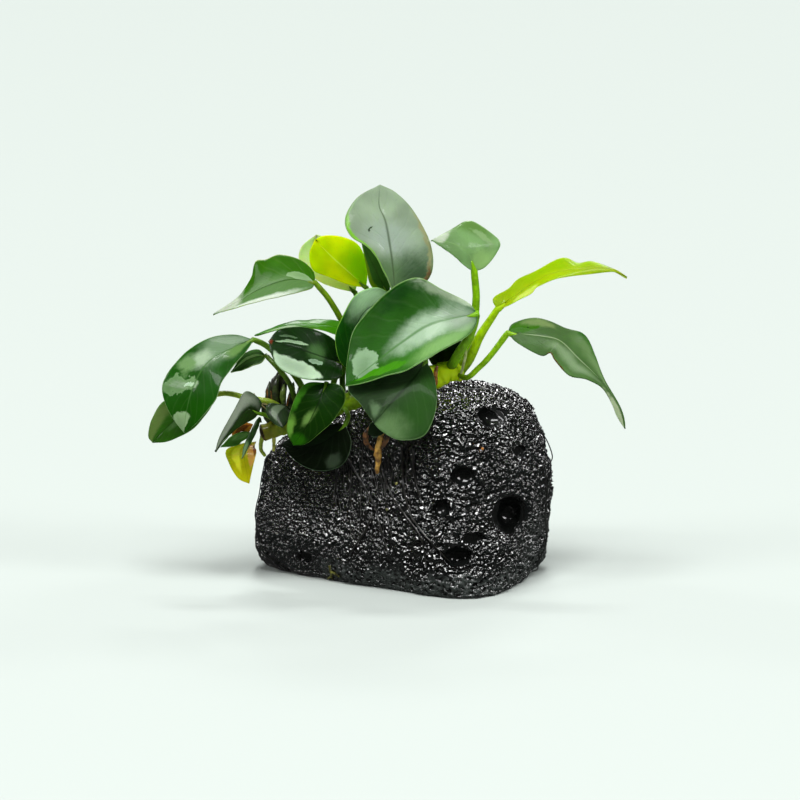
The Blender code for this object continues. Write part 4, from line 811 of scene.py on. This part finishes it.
def greenSkin(name, colour, lower, ringed=False):
    material, tree, shader = newMaterial(name)
    place = objectPlace(tree)
    run = attributeOf(tree, "run")
    mottle = noiseOn(tree, place, *stemFinish["mottle"])
    streak = strandsOn(tree, place, *stemFinish["streaks"])
    base = blendColour(tree, rise(tree, mottle, 0.35, 0.7), tone(*colour), faded(colour, 0.78))
    base = blendColour(tree, rise(tree, run, stemFinish["lowerEnd"], 0.0), base, tone(*lower))
    streaked = times(tree, rise(tree, streak, 0.5, 0.75), stemFinish["streakTint"])
    base = blendColour(tree, streaked, base, faded(colour, 0.6))
    if ringed:  # the young right end is bright, the cut left end brown and speckled
        spots = rise(tree, noiseOn(tree, place, 900.0, 3.0, 0.7), 0.58, 0.72)
        base = blendColour(tree, times(tree, spots, 0.5), base, tone(*rhizome["spots"]))
        # the young right end: its own lime, brightened as painted light
        base = blendColour(tree, rise(tree, run, 0.78, 0.88), base, tone(*rhizome["youngAndLit"]))
        brown, dark = (tone(*cut) for cut in rhizome["cut"])
        speckled = blendColour(tree, rise(tree, mottle, 0.4, 0.6), brown, dark)
        base = blendColour(tree, rise(tree, run, 0.008, 0.002), base, speckled)
    normal = bumpFrom(tree, plus(tree, streak, mottle, 0.6), 0.35, stemFinish["grainDepth"])
    finish(shader, tree, Base_Color=base, Normal=normal, Roughness=stemFinish["rough"],
           Coat_Weight=stemFinish["coat"], Coat_Roughness=stemFinish["coatRoughness"],
           Specular_IOR_Level=stemFinish["specular"], Subsurface_Weight=stemFinish["glow"],
           Subsurface_Scale=stemFinish["lightDepth"], Subsurface_Radius=stemFinish["lightColours"])
    return material


def rhizomePlace(share, places=200):
    return smoothLine([seen(point) for point in rhizome["line"]], places)[round(share * places)]


def buildRhizome():
    steps = rhizome["steps"]
    line = smoothLine([seen(point) for point in rhizome["line"]], steps)
    radii = []
    for step in range(steps + 1):
        share = step / steps
        turn = (share * rhizome["rings"]) % 1.0
        ring = rhizome["ring"] * (1 - turn) ** 2  # a sharp scar, then a slow fall
        radii.append((alongList(rhizome["radii"], share) + ring) * mm)
    bm = bmesh.new()
    addTube(bm, line, radii, rhizome["sides"], bm.verts.layers.float.new("run"))
    # both ends are closed with a rounded cap
    for face in [face for face in bm.faces if len(face.verts) > 4]:
        for size, push in rhizome["caps"]:
            outward = face.normal.copy()
            pushed = bmesh.ops.extrude_face_region(bm, geom=[face])["geom"]
            inner = next(item for item in pushed if isinstance(item, bmesh.types.BMFace))
            middle = inner.calc_center_median()
            bmesh.ops.scale(bm, vec=(size, size, size), space=Matrix.Translation(-middle), verts=inner.verts)
            bmesh.ops.translate(bm, vec=outward * push * mm, verts=inner.verts)
            if face.is_valid:
                bmesh.ops.delete(bm, geom=[face], context="FACES_ONLY")
            face = inner
    roughen(bm, rhizome["knobs"], *rhizome["knobNoises"])
    skin = greenSkin("rhizome_skin", rhizome["colour"], rhizome["lower"], ringed=True)
    return closedPiece("rhizome_ringed", bm, skin, "stem_green", "rhizome")


def buildStem(name):
    leaf, share, (first, last), route = stems[name]
    rib = ribs[leaf]
    points = [rhizomePlace(share), *(seen(point) for point in route), seen(leafShapes[leaf]["base"])]
    steps = stemMesh["steps"]
    line = smoothLine(points, steps)
    radii = []
    for step in range(steps + 1):
        along = step / steps
        flare = 1 + stemMesh["flare"] * max(0.0, 1 - along / stemMesh["flareLength"]) ** 2
        radii.append((first + (last - first) * along) * flare * mm)
    # it runs on under the blade as the start of the midrib
    length = lengthOf(rib)
    below = Vector((0.0, 0.0, -stemMesh["underBlade"] * mm))
    for step in range(1, stemMesh["bladeSteps"] + 1):
        share = step / stemMesh["bladeSteps"]
        line.append(alongList(rib, min(stemMesh["intoBlade"] * mm * share / length, 0.3)) + below)
        radii.append(last * mm * (1 - share * stemMesh["thinning"]))
    bm = bmesh.new()
    addTube(bm, line, radii, stemMesh["sides"], bm.verts.layers.float.new("run"))
    roughen(bm, stemMesh["rough"], stemMesh["roughNoise"])
    colour = stemColours.get(name, stemFinish["usual"])
    skin = greenSkin(name + "_skin", colour, [part * 0.75 for part in colour])
    closedPiece(name.replace("stem", "stalk"), bm, skin, "stem_green", name)


rhizomePiece = buildRhizome()
for name in stems:
    buildStem(name)
print("rhizome and stems", len(stems))

# The stone's pits are small at the left and larger at the right. Its holes are given as they are
# seen: across, up, half width and half height.
stone = dict(
    voxel=1.38, frontLean=0.12, sideLean=0.6, underLean=-0.5, floorGap=0.02, facingShare=0.5,
    pitsLeft=(1.45, 0.6), pitsRight=(1.8, 0.95), blend=(-9.0, 5.0), wall=0.55, raised=0.35, squat=1.25, bend=0.4,
    lumps=((4.6, 0.5), (2.0, 0.3)),
    holes=((23.2, 43.5, 3.6, 2.4), (16.0, 28.5, 2.6, 1.9), (27.8, 18.8, 4.0, 3.9), (18.5, 13.0, 2.4, 1.2),
           (14.5, 8.5, 3.1, 1.9), (30.3, 34.8, 1.6, 1.2), (-24.0, 8.0, 1.6, 1.1), (10.2, 20.5, 1.5, 1.8)),
    holeDepth=0.9, holeEdge=1.3, holeRim=0.3, holesBefore=6.0, lowest=0.3, rising=1.2,
)
stoneFinish = dict(
    colour=(14, 16, 15), second=(15, 17, 15), dust=(72, 76, 74), dustGrain=1.5, wander=0.012,
    bowls=((980.0, 1.5), (680.0, 1.7)),  # scale and depth in millimetres, at the left and at the right
    bowlCurve=1.5, bowlBend=0.0007, bowlSquat=1.35, grainDepth=0.00003, rough=0.45, specular=0.05,
    coatRoughness=0.04, coatIor=2.25, dullDust=0.85, dullHole=0.8,
)


def dullShare(tree, place, wide, ridge):
    # the lower edge and the lower right are dull and grey where the water has run off
    across, _, height = splitVector(tree, place)
    share = stoneFinish["wander"]
    low = rise(tree, plus(tree, height, wide, share), 0.0135, 0.0105)
    low = times(tree, low, rise(tree, across, -0.024, -0.017))
    slant = plus(tree, plus(tree, across, wide, share), height, -0.7)
    dull = compute(tree, "MAXIMUM", low, times(tree, rise(tree, slant, 0.024, 0.034), 0.7))
    dull = times(tree, dull, rise(tree, attributeOf(tree, "pit"), 0.95, 0.35))
    grain = noiseOn(tree, place, 1500.0, 6.0, 0.7)
    return times(tree, times(tree, dull, ridge), rise(tree, grain, 0.3, 0.5))


def stoneMaterial():
    material, tree, shader = newMaterial("wet_lava_skin")
    place = objectPlace(tree)
    wide = noiseOn(tree, place, 140.0)
    bend = (stoneFinish["bowlBend"],) * 3
    bent = noiseOn(tree, place, 600.0, 1.0, output="Color")
    bent = addNode(tree, "VectorMath", {0: bent, 1: bend, 2: place}, operation="MULTIPLY_ADD").outputs["Vector"]
    squat = addNode(tree, "Mapping", {"Vector": bent, "Scale": (1.0, 1.0, stoneFinish["bowlSquat"])})
    bowls = []
    for scale, depth in stoneFinish["bowls"]:
        inputs = {"Vector": squat.outputs["Vector"], "Scale": scale, "Smoothness": 0.4}
        near = addNode(tree, "TexVoronoi", inputs, feature="SMOOTH_F1").outputs["Distance"]
        bowls.append(times(tree, compute(tree, "POWER", near, stoneFinish["bowlCurve"]), depth))
    dull = dullShare(tree, place, wide, rise(tree, near, 0.2, 0.34))
    black, second = tone(*stoneFinish["colour"]), tone(*stoneFinish["second"])
    colour = blendColour(tree, rise(tree, wide, 0.4, 0.7), black, second)
    colour = blendColour(tree, dull, colour, tone(*stoneFinish["dust"]))
    inHole = attributeOf(tree, "hole")
    side = rise(tree, splitVector(tree, place)[0], *(edge * mm for edge in stone["blend"]))
    deep = addNode(tree, "Mix", {0: side, 2: bowls[0], 3: bowls[1]}, data_type="FLOAT").outputs[0]
    bowled = bumpFrom(tree, times(tree, deep, plus(tree, 1.0, inHole, -1.0)), 1.0, mm)
    dusty = times(tree, noiseOn(tree, place, 4200.0, 3.0, 0.6), dull)
    relief = plus(tree, noiseOn(tree, place, 1500.0, 1.0), dusty, stoneFinish["dustGrain"])
    normal = bumpFrom(tree, relief, 1.0, stoneFinish["grainDepth"], bowled)
    wet = plus(tree, 1.0, dull, -stoneFinish["dullDust"])
    wet = times(tree, wet, plus(tree, 1.0, inHole, -stoneFinish["dullHole"]))
    finish(shader, tree, Base_Color=colour, Normal=normal, Coat_Normal=normal, Coat_Weight=wet,
           Roughness=stoneFinish["rough"], Coat_Roughness=stoneFinish["coatRoughness"],
           Coat_IOR=stoneFinish["coatIor"], Specular_IOR_Level=stoneFinish["specular"])
    return material


def stonePit(spot):
    # how deep the surface lies under the ridges between the pits, from 0 to 1, and in millimetres
    share = min(max((spot.x - stone["blend"][0]) / (stone["blend"][1] - stone["blend"][0]), 0.0), 1.0)
    bent = spot + noise.noise_vector(spot * 0.5) * stone["bend"]
    bent.z *= stone["squat"]
    sunk = deep = 0.0
    for (size, depth), part in ((stone["pitsLeft"], 1 - share), (stone["pitsRight"], share)):
        if part > 0.0:
            near, second = noise.voronoi(bent / size)[0][:2]
            bowl = 1 - (1 - min(1.0, (second - near) / stone["wall"])) ** 2
            sunk += bowl * part
            deep += depth * part * (bowl - stone["raised"])
    deep *= 0.95 + noise.noise(spot * 0.33) * 0.9
    return sunk, deep


def holeShare(spot):
    # 1 in the middle of a burst bubble on the front, 0 outside
    up = spot.z * math.cos(view["tilt"]) + (spot.y + view["restDepth"]) * math.sin(view["tilt"])
    best = 0.0
    if spot.y < stone["holesBefore"]:
        for middle, level, wide, high in stone["holes"]:
            far = math.hypot((spot.x - middle) / wide, (up - level) / high)
            best = max(best, min(1.0, max(0.0, (stone["holeEdge"] - far) / stone["holeRim"])))
    return best


def evenStone():
    # a copy of the solid with cells of one size, and a tree of the solid's own faces
    bm = bmesh.new()
    bm.from_mesh(bpy.data.objects["stone"].data)
    bmesh.ops.remove_doubles(bm, verts=bm.verts, dist=mergeWithin / 2)
    solidTree = BVHTree.FromBMesh(bm)
    rough = newPiece("stone_rough", bm)
    remesh = rough.modifiers.new("even", "REMESH")
    remesh.mode = "VOXEL"
    remesh.voxel_size = stone["voxel"] * mm
    bpy.context.view_layer.update()
    mesh = bpy.data.meshes.new_from_object(rough.evaluated_get(bpy.context.evaluated_depsgraph_get()))
    bpy.data.objects.remove(rough, do_unlink=True)
    bm = bmesh.new()
    bm.from_mesh(mesh)
    bpy.data.meshes.remove(mesh)
    return bm, solidTree


def buildStone():
    bm, solidTree = evenStone()
    layers = bm.verts.layers.float
    layers.new("pit")
    layers.new("hole")
    pit, hole = layers["pit"], layers["hole"]
    # all but the back and the underside is cut once, and the front half once more
    for lean, under in ((stone["sideLean"], stone["underLean"]), (stone["frontLean"], -1.0)):
        bm.normal_update()
        chosen = [face for face in bm.faces if face.normal.y < lean and face.normal.z > under]
        edges = {edge for face in chosen for edge in face.edges}
        bmesh.ops.subdivide_edges(bm, edges=list(edges), cuts=1, use_grid_fill=True)
    for vert in bm.verts:
        vert.co = solidTree.find_nearest(vert.co)[0]
    for _ in range(3):
        bmesh.ops.smooth_vert(bm, verts=bm.verts, factor=0.5, use_axis_x=True, use_axis_y=True, use_axis_z=True)
    bm.normal_update()
    for vert in bm.verts:
        spot = vert.co / mm
        if spot.z < stone["lowest"]:
            continue
        fade = min(1.0, (spot.z - stone["lowest"]) / stone["rising"])
        inHole = holeShare(spot)
        sunk, deep = stonePit(spot)
        deep *= 1 - (1 - stone["facingShare"]) * min(1.0, max(0.0, -vert.normal.y) / 0.7)
        move = -deep * (1 - inHole) - stone["holeDepth"] * inHole**2
        for size, depth in stone["lumps"]:
            move += noise.noise(spot / size) * depth * (1 - inHole * 0.7)
        vert[pit] = sunk * (1 - inHole) + inHole
        vert[hole] = inHole
        vert.co += vert.normal * move * fade * mm
        vert.co.z = max(vert.co.z, stone["floorGap"] * mm)
    bmesh.ops.triangulate(bm, faces=bm.faces)
    bmesh.ops.recalc_face_normals(bm, faces=bm.faces)
    tree = BVHTree.FromBMesh(bm)
    print("stone triangles", len(bm.faces))
    standIn(newPiece("stone_pitted", bm, stoneMaterial()), "wet_lava", "stone")
    return tree


stoneTree = buildStone()

# What else grows out of the rhizome: the share of its length where it starts, and its route from there.
# The dried sheath lies loose beside it and starts at no share.
lumpy = ((900, 0.6), (2100, 0.4))
outgrowths = {
    "old_leaf_bases": dict(
        share=0.09, slot="old_bark",
        route=((-30.6, 46.4, 9.8), (-30.7, 50.4, 10.0), (-30.0, 53.4, 9.8), (-29.6, 54.6, 9.6)),
        radii=(1.5, 1.9, 2.4, 2.0, 0.8), colour=(52, 56, 20), second=(26, 24, 12), rough=0.35),
    "dead_leaf_stub": dict(
        share=0.585, slot="dry_straw",
        route=((-3.6, 47.4, -0.5), (-4.0, 43.4, -6.4), (-4.6, 39.2, -7.0), (-5.5, 35.2, -7.0),
               (-5.5, 32.2, -6.8), (-5.8, 29.3, -6.4)),
        radii=(0.6, 0.7, 0.9, 1.1, 0.6, 0.95, 0.3), colour=(196, 150, 62), second=(110, 74, 28), rough=0.4),
    "root_left_pale": dict(
        share=0.055, slot="young_root", route=((-31.5, 36.6, 9.4), (-31.6, 34.9, 10.6)),
        radii=(0.55, 0.45, 0.35), colour=(190, 186, 90), second=(150, 150, 50), rough=0.1),
    "root_left_green": dict(
        share=0.0, slot="young_root", route=((-34.8, 35.6, 9.4), (-33.8, 33.6, 11.2)),
        radii=(0.6, 0.5, 0.4), colour=(150, 170, 40), second=(110, 130, 20), rough=0.1),
    "dried_sheath": dict(
        slot="dry_straw", route=((9.2, 56.0, 3.2), (8.8, 53.6, 2.4), (9.1, 51.2, 3.0)),
        radii=(0.3, 0.54, 0.6, 0.54, 0.24), colour=(190, 120, 40), second=(120, 70, 20), rough=0.2,
        noises=((1500, 1.0),), steps=24, sides=16, piece="sheath_dried", skin="sheath_skin"),
}
oldFinish = dict(mottle=(700.0, 5.0, 0.65), streaks=(2200.0, 0.15), streakTint=0.4, grainDepth=0.0003,
                 rough=0.42, gloss=0.4, coatRoughness=0.1)


def oldSkin(name, look):
    material, tree, shader = newMaterial(name)
    place = objectPlace(tree)
    mottle = noiseOn(tree, place, *oldFinish["mottle"])
    streak = strandsOn(tree, place, *oldFinish["streaks"])
    base = blendColour(tree, rise(tree, mottle, 0.38, 0.62), tone(*look["colour"]), tone(*look["second"]))
    streaked = times(tree, rise(tree, streak, 0.5, 0.7), oldFinish["streakTint"])
    base = blendColour(tree, streaked, base, faded(look["second"], 0.5))
    normal = bumpFrom(tree, plus(tree, streak, mottle), 0.6, oldFinish["grainDepth"])
    finish(shader, tree, Base_Color=base, Normal=normal, Roughness=oldFinish["rough"],
           Coat_Weight=look.get("gloss", oldFinish["gloss"]), Coat_Roughness=oldFinish["coatRoughness"])
    return material


def spreadRadii(radii, steps):
    return [alongList(radii, step / steps) * mm for step in range(steps + 1)]


def buildOutgrowth(name, growth):
    start = [rhizomePlace(growth["share"])] if "share" in growth else []
    steps = growth.get("steps", 48)
    line = smoothLine(start + [seen(point) for point in growth["route"]], steps)
    bm = bmesh.new()
    addTube(bm, line, spreadRadii(growth["radii"], steps), growth.get("sides", 20))
    roughen(bm, growth["rough"], *growth.get("noises", lumpy))
    skin = oldSkin(growth.get("skin", name + "_skin"), growth)
    closedPiece(growth.get("piece", name + "_fine"), bm, skin, growth["slot"], name)


for name, growth in outgrowths.items():
    buildOutgrowth(name, growth)
print("outgrowths", len(outgrowths))

# Roots on the front of the stone, as (across, up) on its face, from the rhizome down.
roots = {
    "root_long": ((-15.5, 37.0), (-13.0, 32.8), (-10.5, 28.8), (-6.3, 21.5), (-5.2, 17.5), (-2.8, 8.8)),
    "root_left": ((-6.9, 18.4), (-9.0, 14.0), (-12.5, 9.0)),
    "root_centre": ((-5.0, 38.5), (-4.6, 31.0), (-2.4, 25.0), (-0.5, 21.3), (5.2, 13.5), (6.8, 5.3)),
    "root_right": ((0.6, 36.5), (0.9, 27.0), (2.6, 19.0), (7.2, 13.0), (12.5, 6.8)),
    "root_far_right": ((3.4, 35.5), (3.6, 30.0), (5.0, 23.2), (7.0, 18.6)),
}
rootMesh = dict(radius=0.24, thickEnd=1.2, thinEnd=0.6, spacing=0.9, sides=10, sunk=0.9, pulls=3,
                colour=(30, 28, 20), second=(14, 13, 10), gloss=0.8)
thread = dict(
    route=((1.95, 3.6, 48.2), (1.95, 4.4, 52.2), (1.95, 7.0, 54.0), (2.0, 9.8, 52.0), (2.6, 11.6, 48.6),
           (10.0, 15.0, 48.0), (20.0, 17.0, 47.6), (26.0, 15.4, 46.6), (31.6, 9.0, 43.0), (36.6, 12.0, 36.0),
           (38.8, 16.0, 28.0), (38.4, 18.0, 22.0), (37.6, 19.4, 14.0), (36.8, 20.0, 7.0), (35.6, 20.0, 1.4),
           (33.0, 20.0, 0.42), (0.0, 20.0, 0.42), (-28.0, 20.0, 0.42), (-33.0, 20.0, 2.6), (-36.4, 19.6, 10.0),
           (-36.0, 18.6, 22.0), (-32.4, 16.6, 33.0), (-22.0, 13.6, 40.0), (-12.0, 12.6, 45.0), (-6.0, 11.6, 47.0)),
    radius=0.15, steps=300, sides=10, slack=3.0, pulls=8, underStone=0.6,
    colour=(46, 48, 44), second=(20, 20, 18), gloss=0.1,
)


def relaxed(line):
    return [line[0], *((a + b * 2 + c) / 4 for a, b, c in zip(line, line[1:], line[2:])), line[-1]]


def laidOn(tree, point, lift, slack):
    spot, normal, _, distance = tree.find_nearest(point)
    return spot + normal * lift if distance < slack or (point - spot).dot(normal) < 0 else point


def onStone(points, steps, lift):
    # a line seen on the stone's face, laid on it; points beside the stone are left out
    line = []
    for spot in smoothLine([Vector((across, up, 0.0)) for across, up in points], steps):
        start = seen((spot.x, spot.y, -100.0))
        touched, normal, _, _ = stoneTree.ray_cast(start, (seen(spot) - start).normalized())
        if touched:
            line.append(touched + normal * lift)
    return line


def buildRoot(name, points):
    steps = round(lengthOf([Vector(point) for point in points]) / rootMesh["spacing"])
    radius = rootMesh["radius"] * mm
    line = onStone(points, steps, radius)
    lift = radius * rootMesh["sunk"]
    for _ in range(rootMesh["pulls"]):
        line = [laidOn(stoneTree, point, lift, lift) for point in relaxed(line)]
    fall = (rootMesh["thickEnd"] - rootMesh["thinEnd"]) / steps
    radii = [radius * (rootMesh["thickEnd"] - fall * step) for step in range(steps + 1)]
    bm = bmesh.new()
    addTube(bm, line, radii, rootMesh["sides"])
    closedPiece(name + "_fine", bm, oldSkin(name + "_skin", rootMesh), "root_brown", name)


def buildThread():
    back = Vector((0.0, view["restDepth"], 0.0))
    line = smoothLine([(Vector(point) - back) * mm for point in thread["route"]], thread["steps"])
    graph = bpy.context.evaluated_depsgraph_get()
    bm = bmesh.new()
    bm.from_object(rhizomePiece, graph)
    rhizomeTree = BVHTree.FromBMesh(bm)
    bm.free()
    lift = thread["radius"] * mm
    slack = thread["slack"] * mm
    for _ in range(thread["pulls"]):
        line = relaxed(line)
        for i, point in enumerate(line):
            if point.z > thread["underStone"] * mm:
                line[i] = laidOn(rhizomeTree, laidOn(stoneTree, point, lift, slack), lift, lift)
        slack = lift
    bm = bmesh.new()
    addTube(bm, line, [lift] * len(line), thread["sides"])
    closedPiece("thread_fine", bm, oldSkin("thread_skin", thread), "thread_grey", "tie_thread")
    print("thread", round(lengthOf(line), 3), "m")


for name, points in roots.items():
    buildRoot(name, points)
buildThread()
print("roots and thread", len(roots) + 1)

# Small things with no solid of their own. A strand has points as (across, up, depth), radii along it
# and how flat it is. What lies on the stone has points as (across, up) and is laid on its face.
scales = dict(
    slot="old_bark",
    strands=(
        ((-31.4, 42.4, 7.4), (-32.4, 46.4, 6.9), (-32.9, 49.6, 7.4), (-32.5, 52.2, 8.4)),
        ((-30.6, 42.6, 7.0), (-31.0, 47.0, 6.4), (-31.0, 51.0, 7.0), (-30.2, 54.0, 8.4)),
        ((-29.2, 43.0, 7.4), (-29.4, 47.2, 7.2), (-28.8, 51.2, 7.6), (-28.2, 53.6, 8.6)),
        ((-27.8, 43.4, 7.0), (-27.4, 47.0, 6.5), (-26.8, 50.0, 7.2), (-26.6, 52.0, 8.4)),
        ((-26.8, 43.8, 7.6), (-25.8, 46.8, 7.6), (-25.2, 49.0, 8.2), (-25.4, 50.6, 9.0)),
        ((-32.2, 41.6, 8.4), (-33.6, 44.4, 8.0), (-33.8, 46.8, 8.2), (-33.2, 48.8, 9.0)),
    ),
    radii=(0.7, 1.0, 0.95, 0.7, 0.12), flat=0.42, colour=(62, 80, 28), second=(26, 30, 14),
)
bud = dict(
    slot="young_root", strands=(((-29.2, 46.4, 6.4), (-29.2, 49.0, 5.8), (-28.9, 51.4, 6.4)),),
    radii=(0.4, 0.8, 0.75, 0.15), flat=0.9, colour=(112, 140, 44), second=(70, 96, 24))
stripes = dict(
    slot="dry_straw",
    strands=(((-32.0, 42.0, 7.0), (-32.9, 46.0, 6.2), (-33.2, 50.4, 6.8)),
             ((-31.0, 42.0, 6.8), (-31.9, 46.6, 5.9), (-32.2, 49.8, 6.4)),
             ((-28.4, 43.0, 6.6), (-28.2, 46.0, 6.0), (-27.6, 48.8, 6.4))),
    radii=(0.16, 0.26, 0.22, 0.08), flat=0.8, colour=(158, 104, 44), second=(92, 56, 22))
fibres = dict(
    slot="dry_straw", sides=6,
    strands=(((-30.6, 43.4, 6.4), (-33.4, 46.6, 5.0), (-36.4, 47.9, 5.2), (-37.6, 48.9, 5.8)),
             ((-31.2, 43.0, 6.4), (-33.6, 45.4, 5.1), (-35.2, 47.2, 4.9), (-36.4, 49.3, 5.6)),
             ((-30.8, 42.8, 6.2), (-32.8, 46.0, 4.9), (-34.8, 46.5, 5.0), (-35.6, 45.2, 5.4))),
    radii=(0.16, 0.12, 0.08), flat=1.0, colour=(182, 168, 118), second=(132, 112, 66))
stubWings = dict(
    slot="dry_straw",
    strands=(((-4.2, 41.8, -6.7), (-6.8, 41.0, -7.2), (-8.5, 38.8, -7.5), (-8.1, 36.4, -7.4), (-5.6, 34.4, -7.0)),
             ((-4.2, 41.4, -6.8), (-3.1, 40.0, -7.7), (-3.3, 38.0, -7.8), (-4.2, 36.2, -7.6), (-5.4, 34.6, -7.0))),
    radii=(0.2, 0.5, 0.75, 0.5, 0.15), flat=0.35, colour=(120, 76, 32), second=(34, 24, 14))
paleSheath = dict(
    slot="young_root",
    strands=(((16.6, 61.4, 3.8), (16.3, 58.6, 4.2), (15.8, 56.2, 4.2), (15.2, 53.8, 4.6), (14.9, 52.6, 4.9)),),
    radii=(0.12, 0.34, 0.4, 0.36, 0.15), flat=0.5, colour=(216, 224, 160), second=(176, 192, 104))
finest = dict(
    count=22, across=(-16.5, 4.5), top=(36.5, 38.5), bottom=(13.0, 27.0), bends=4, drift=(-0.52, 1.3),
    radius=0.085, spread=(0.7, 1.5), steps=36, colour=(34, 31, 22), second=(15, 14, 10), gloss=0.8, seed=7)
crumb = dict(
    lines=(((-17.6, 6.3), (-17.3, 4.5), (-16.6, 2.0)), ((-17.3, 4.6), (-16.2, 4.2), (-15.1, 3.4)),
           ((-17.1, 3.4), (-17.9, 2.9), (-18.5, 2.1))),
    radius=0.3, steps=14, colour=(150, 152, 66), second=(84, 80, 34))
specks = dict(
    spots=(((-0.8, 26.7), (214, 206, 110)), ((20.5, 35.4), (206, 128, 44)), ((-3.2, 20.2), (150, 150, 96))),
    radius=0.34, rough=0.12)
strandMesh = dict(steps=20, sides=10, rough=0.12)
onStoneMesh = dict(lift=0.7, thickEnd=1.1, fall=0.6, sides=6)


def buildStrands(name, look):
    steps = strandMesh["steps"]
    bm = bmesh.new()
    run = bm.verts.layers.float.new("run")
    for points in look["strands"]:
        line = smoothLine([seen(point) for point in points], steps)
        before = len(bm.verts)
        addTube(bm, line, spreadRadii(look["radii"], steps), look.get("sides", strandMesh["sides"]), run)
        for vert in list(bm.verts)[before:]:
            middle = alongList(line, vert[run])
            rough = noise.noise(vert.co * 1500) * strandMesh["rough"] * mm
            vert.co.y = middle.y + (vert.co.y - middle.y) * look["flat"] + rough
            vert.co.x += rough
    closedPiece(name, bm, oldSkin(name + "_skin", look), look["slot"])


def addOnStone(bm, points, radius, steps):
    line = relaxed(onStone(points, steps, radius * onStoneMesh["lift"]))
    fall = onStoneMesh["fall"] / len(line)
    radii = [radius * (onStoneMesh["thickEnd"] - fall * step) for step in range(len(line))]
    addTube(bm, line, radii, onStoneMesh["sides"])


def buildFinest():
    # the finest roots, as a loose bundle down the middle of the face
    draw = random.Random(finest["seed"])
    bm = bmesh.new()
    for _ in range(finest["count"]):
        across, up = draw.uniform(*finest["across"]), draw.uniform(*finest["top"])
        down = draw.uniform(*finest["bottom"])
        points = [(across, up)]
        for step in range(1, finest["bends"] + 1):
            across += draw.uniform(*finest["drift"])
            points.append((across, up + (down - up) * step / finest["bends"]))
        addOnStone(bm, points, finest["radius"] * draw.uniform(*finest["spread"]) * mm, finest["steps"])
    closedPiece("roots_finest", bm, oldSkin("roots_finest_skin", finest), "root_brown")


def buildCrumb():
    bm = bmesh.new()
    for points in crumb["lines"]:
        addOnStone(bm, points, crumb["radius"] * mm, crumb["steps"])
    closedPiece("leaf_crumb", bm, oldSkin("leaf_crumb_skin", crumb), "dry_straw")


def buildSpeck(index, spot, colour):
    radius = specks["radius"] * mm
    place = Matrix.Translation(onStone((spot, spot), 1, radius * 0.4)[0])
    bm = bmesh.new()
    bmesh.ops.create_icosphere(bm, subdivisions=3, radius=radius, matrix=place)
    for vert in bm.verts:
        vert.co += noise.noise_vector(vert.co * 2600) * specks["rough"] * mm
    look = dict(colour=colour, second=[part * 0.6 for part in colour])
    standIn(newPiece("speck_%d" % index, bm, oldSkin("speck_skin_%d" % index, look)), "dry_straw")


strands = {
    "scales_old": scales, "bud_green": bud, "stripes_brown": stripes, "fibres_tan": fibres,
    "stub_wings": stubWings, "sheath_pale": paleSheath,
}
for name, look in strands.items():
    buildStrands(name, look)
buildFinest()
buildCrumb()
for index, (spot, colour) in enumerate(specks["spots"]):
    buildSpeck(index, spot, colour)
print("small pieces", len(strands) + 2 + len(specks["spots"]))

studio = dict(
    floor=(190, 198, 193), floorSize=8.0, world=0.045, worldColour=(1.0, 1.0, 0.98), aim=(0.0, 0.0, 0.05),
    lamps=(
        # name, place, width, height, power
        ("softbox", (-0.5, -2.7, 4.9), 3.4, 1.9, 340.0),
        ("overhead", (0.2, 1.8, 6.0), 1.2, 0.9, 110.0),
        ("back_panel", (0.4, 5.0, 3.9), 2.0, 0.9, 105.0),
        ("right_front", (4.2, -2.6, 3.2), 1.3, 1.3, 85.0),
        ("left_front", (-4.4, -2.4, 3.0), 1.3, 1.3, 65.0),
        ("right_rim", (4.2, 2.8, 2.0), 1.0, 1.4, 50.0),
        ("left_rim", (-4.2, 2.8, 2.0), 1.0, 1.4, 40.0),
    ),
)


def buildStudio():
    scene = bpy.context.scene
    scene.view_settings.view_transform = "Standard"
    world = bpy.data.worlds.new("studio")
    scene.world = world
    world.use_nodes = True
    background = world.node_tree.nodes["Background"]
    background.inputs["Color"].default_value = (*studio["worldColour"], 1.0)
    background.inputs["Strength"].default_value = studio["world"]
    bm = bmesh.new()
    bmesh.ops.create_grid(bm, x_segments=1, y_segments=1, size=studio["floorSize"] / 2)
    material, tree, shader = newMaterial("floor")
    finish(shader, tree, Base_Color=tone(*studio["floor"]), Roughness=0.9, Specular_IOR_Level=0.0)
    floor = newPiece("floor", bm, material)
    floor.visible_glossy = False  # the wet stone stays black, as on a bench in a dark room
    for name, place, width, height, power in studio["lamps"]:
        lamp = bpy.data.lights.new(name, "AREA")
        lamp.shape = "RECTANGLE"
        lamp.size, lamp.size_y, lamp.energy = width, height, power
        holder = bpy.data.objects.new(name, lamp)
        holder.location = place
        holder.rotation_euler = (Vector(studio["aim"]) - holder.location).to_track_quat("-Z", "Y").to_euler()
        scene.collection.objects.link(holder)
    camera = bpy.data.objects.new("camera", bpy.data.cameras.new("camera"))
    look = Vector((0.0, math.cos(view["tilt"]), -math.sin(view["tilt"])))
    camera.location = Vector(view["target"]) - look * view["distance"]
    camera.rotation_euler = look.to_track_quat("-Z", "Y").to_euler()
    camera.data.sensor_width = 36.0
    camera.data.lens = 36.0 * view["distance"] / view["frameWidth"]
    camera.data.clip_end = 50.0
    scene.collection.objects.link(camera)
    scene.camera = camera


buildStudio()
print("studio")
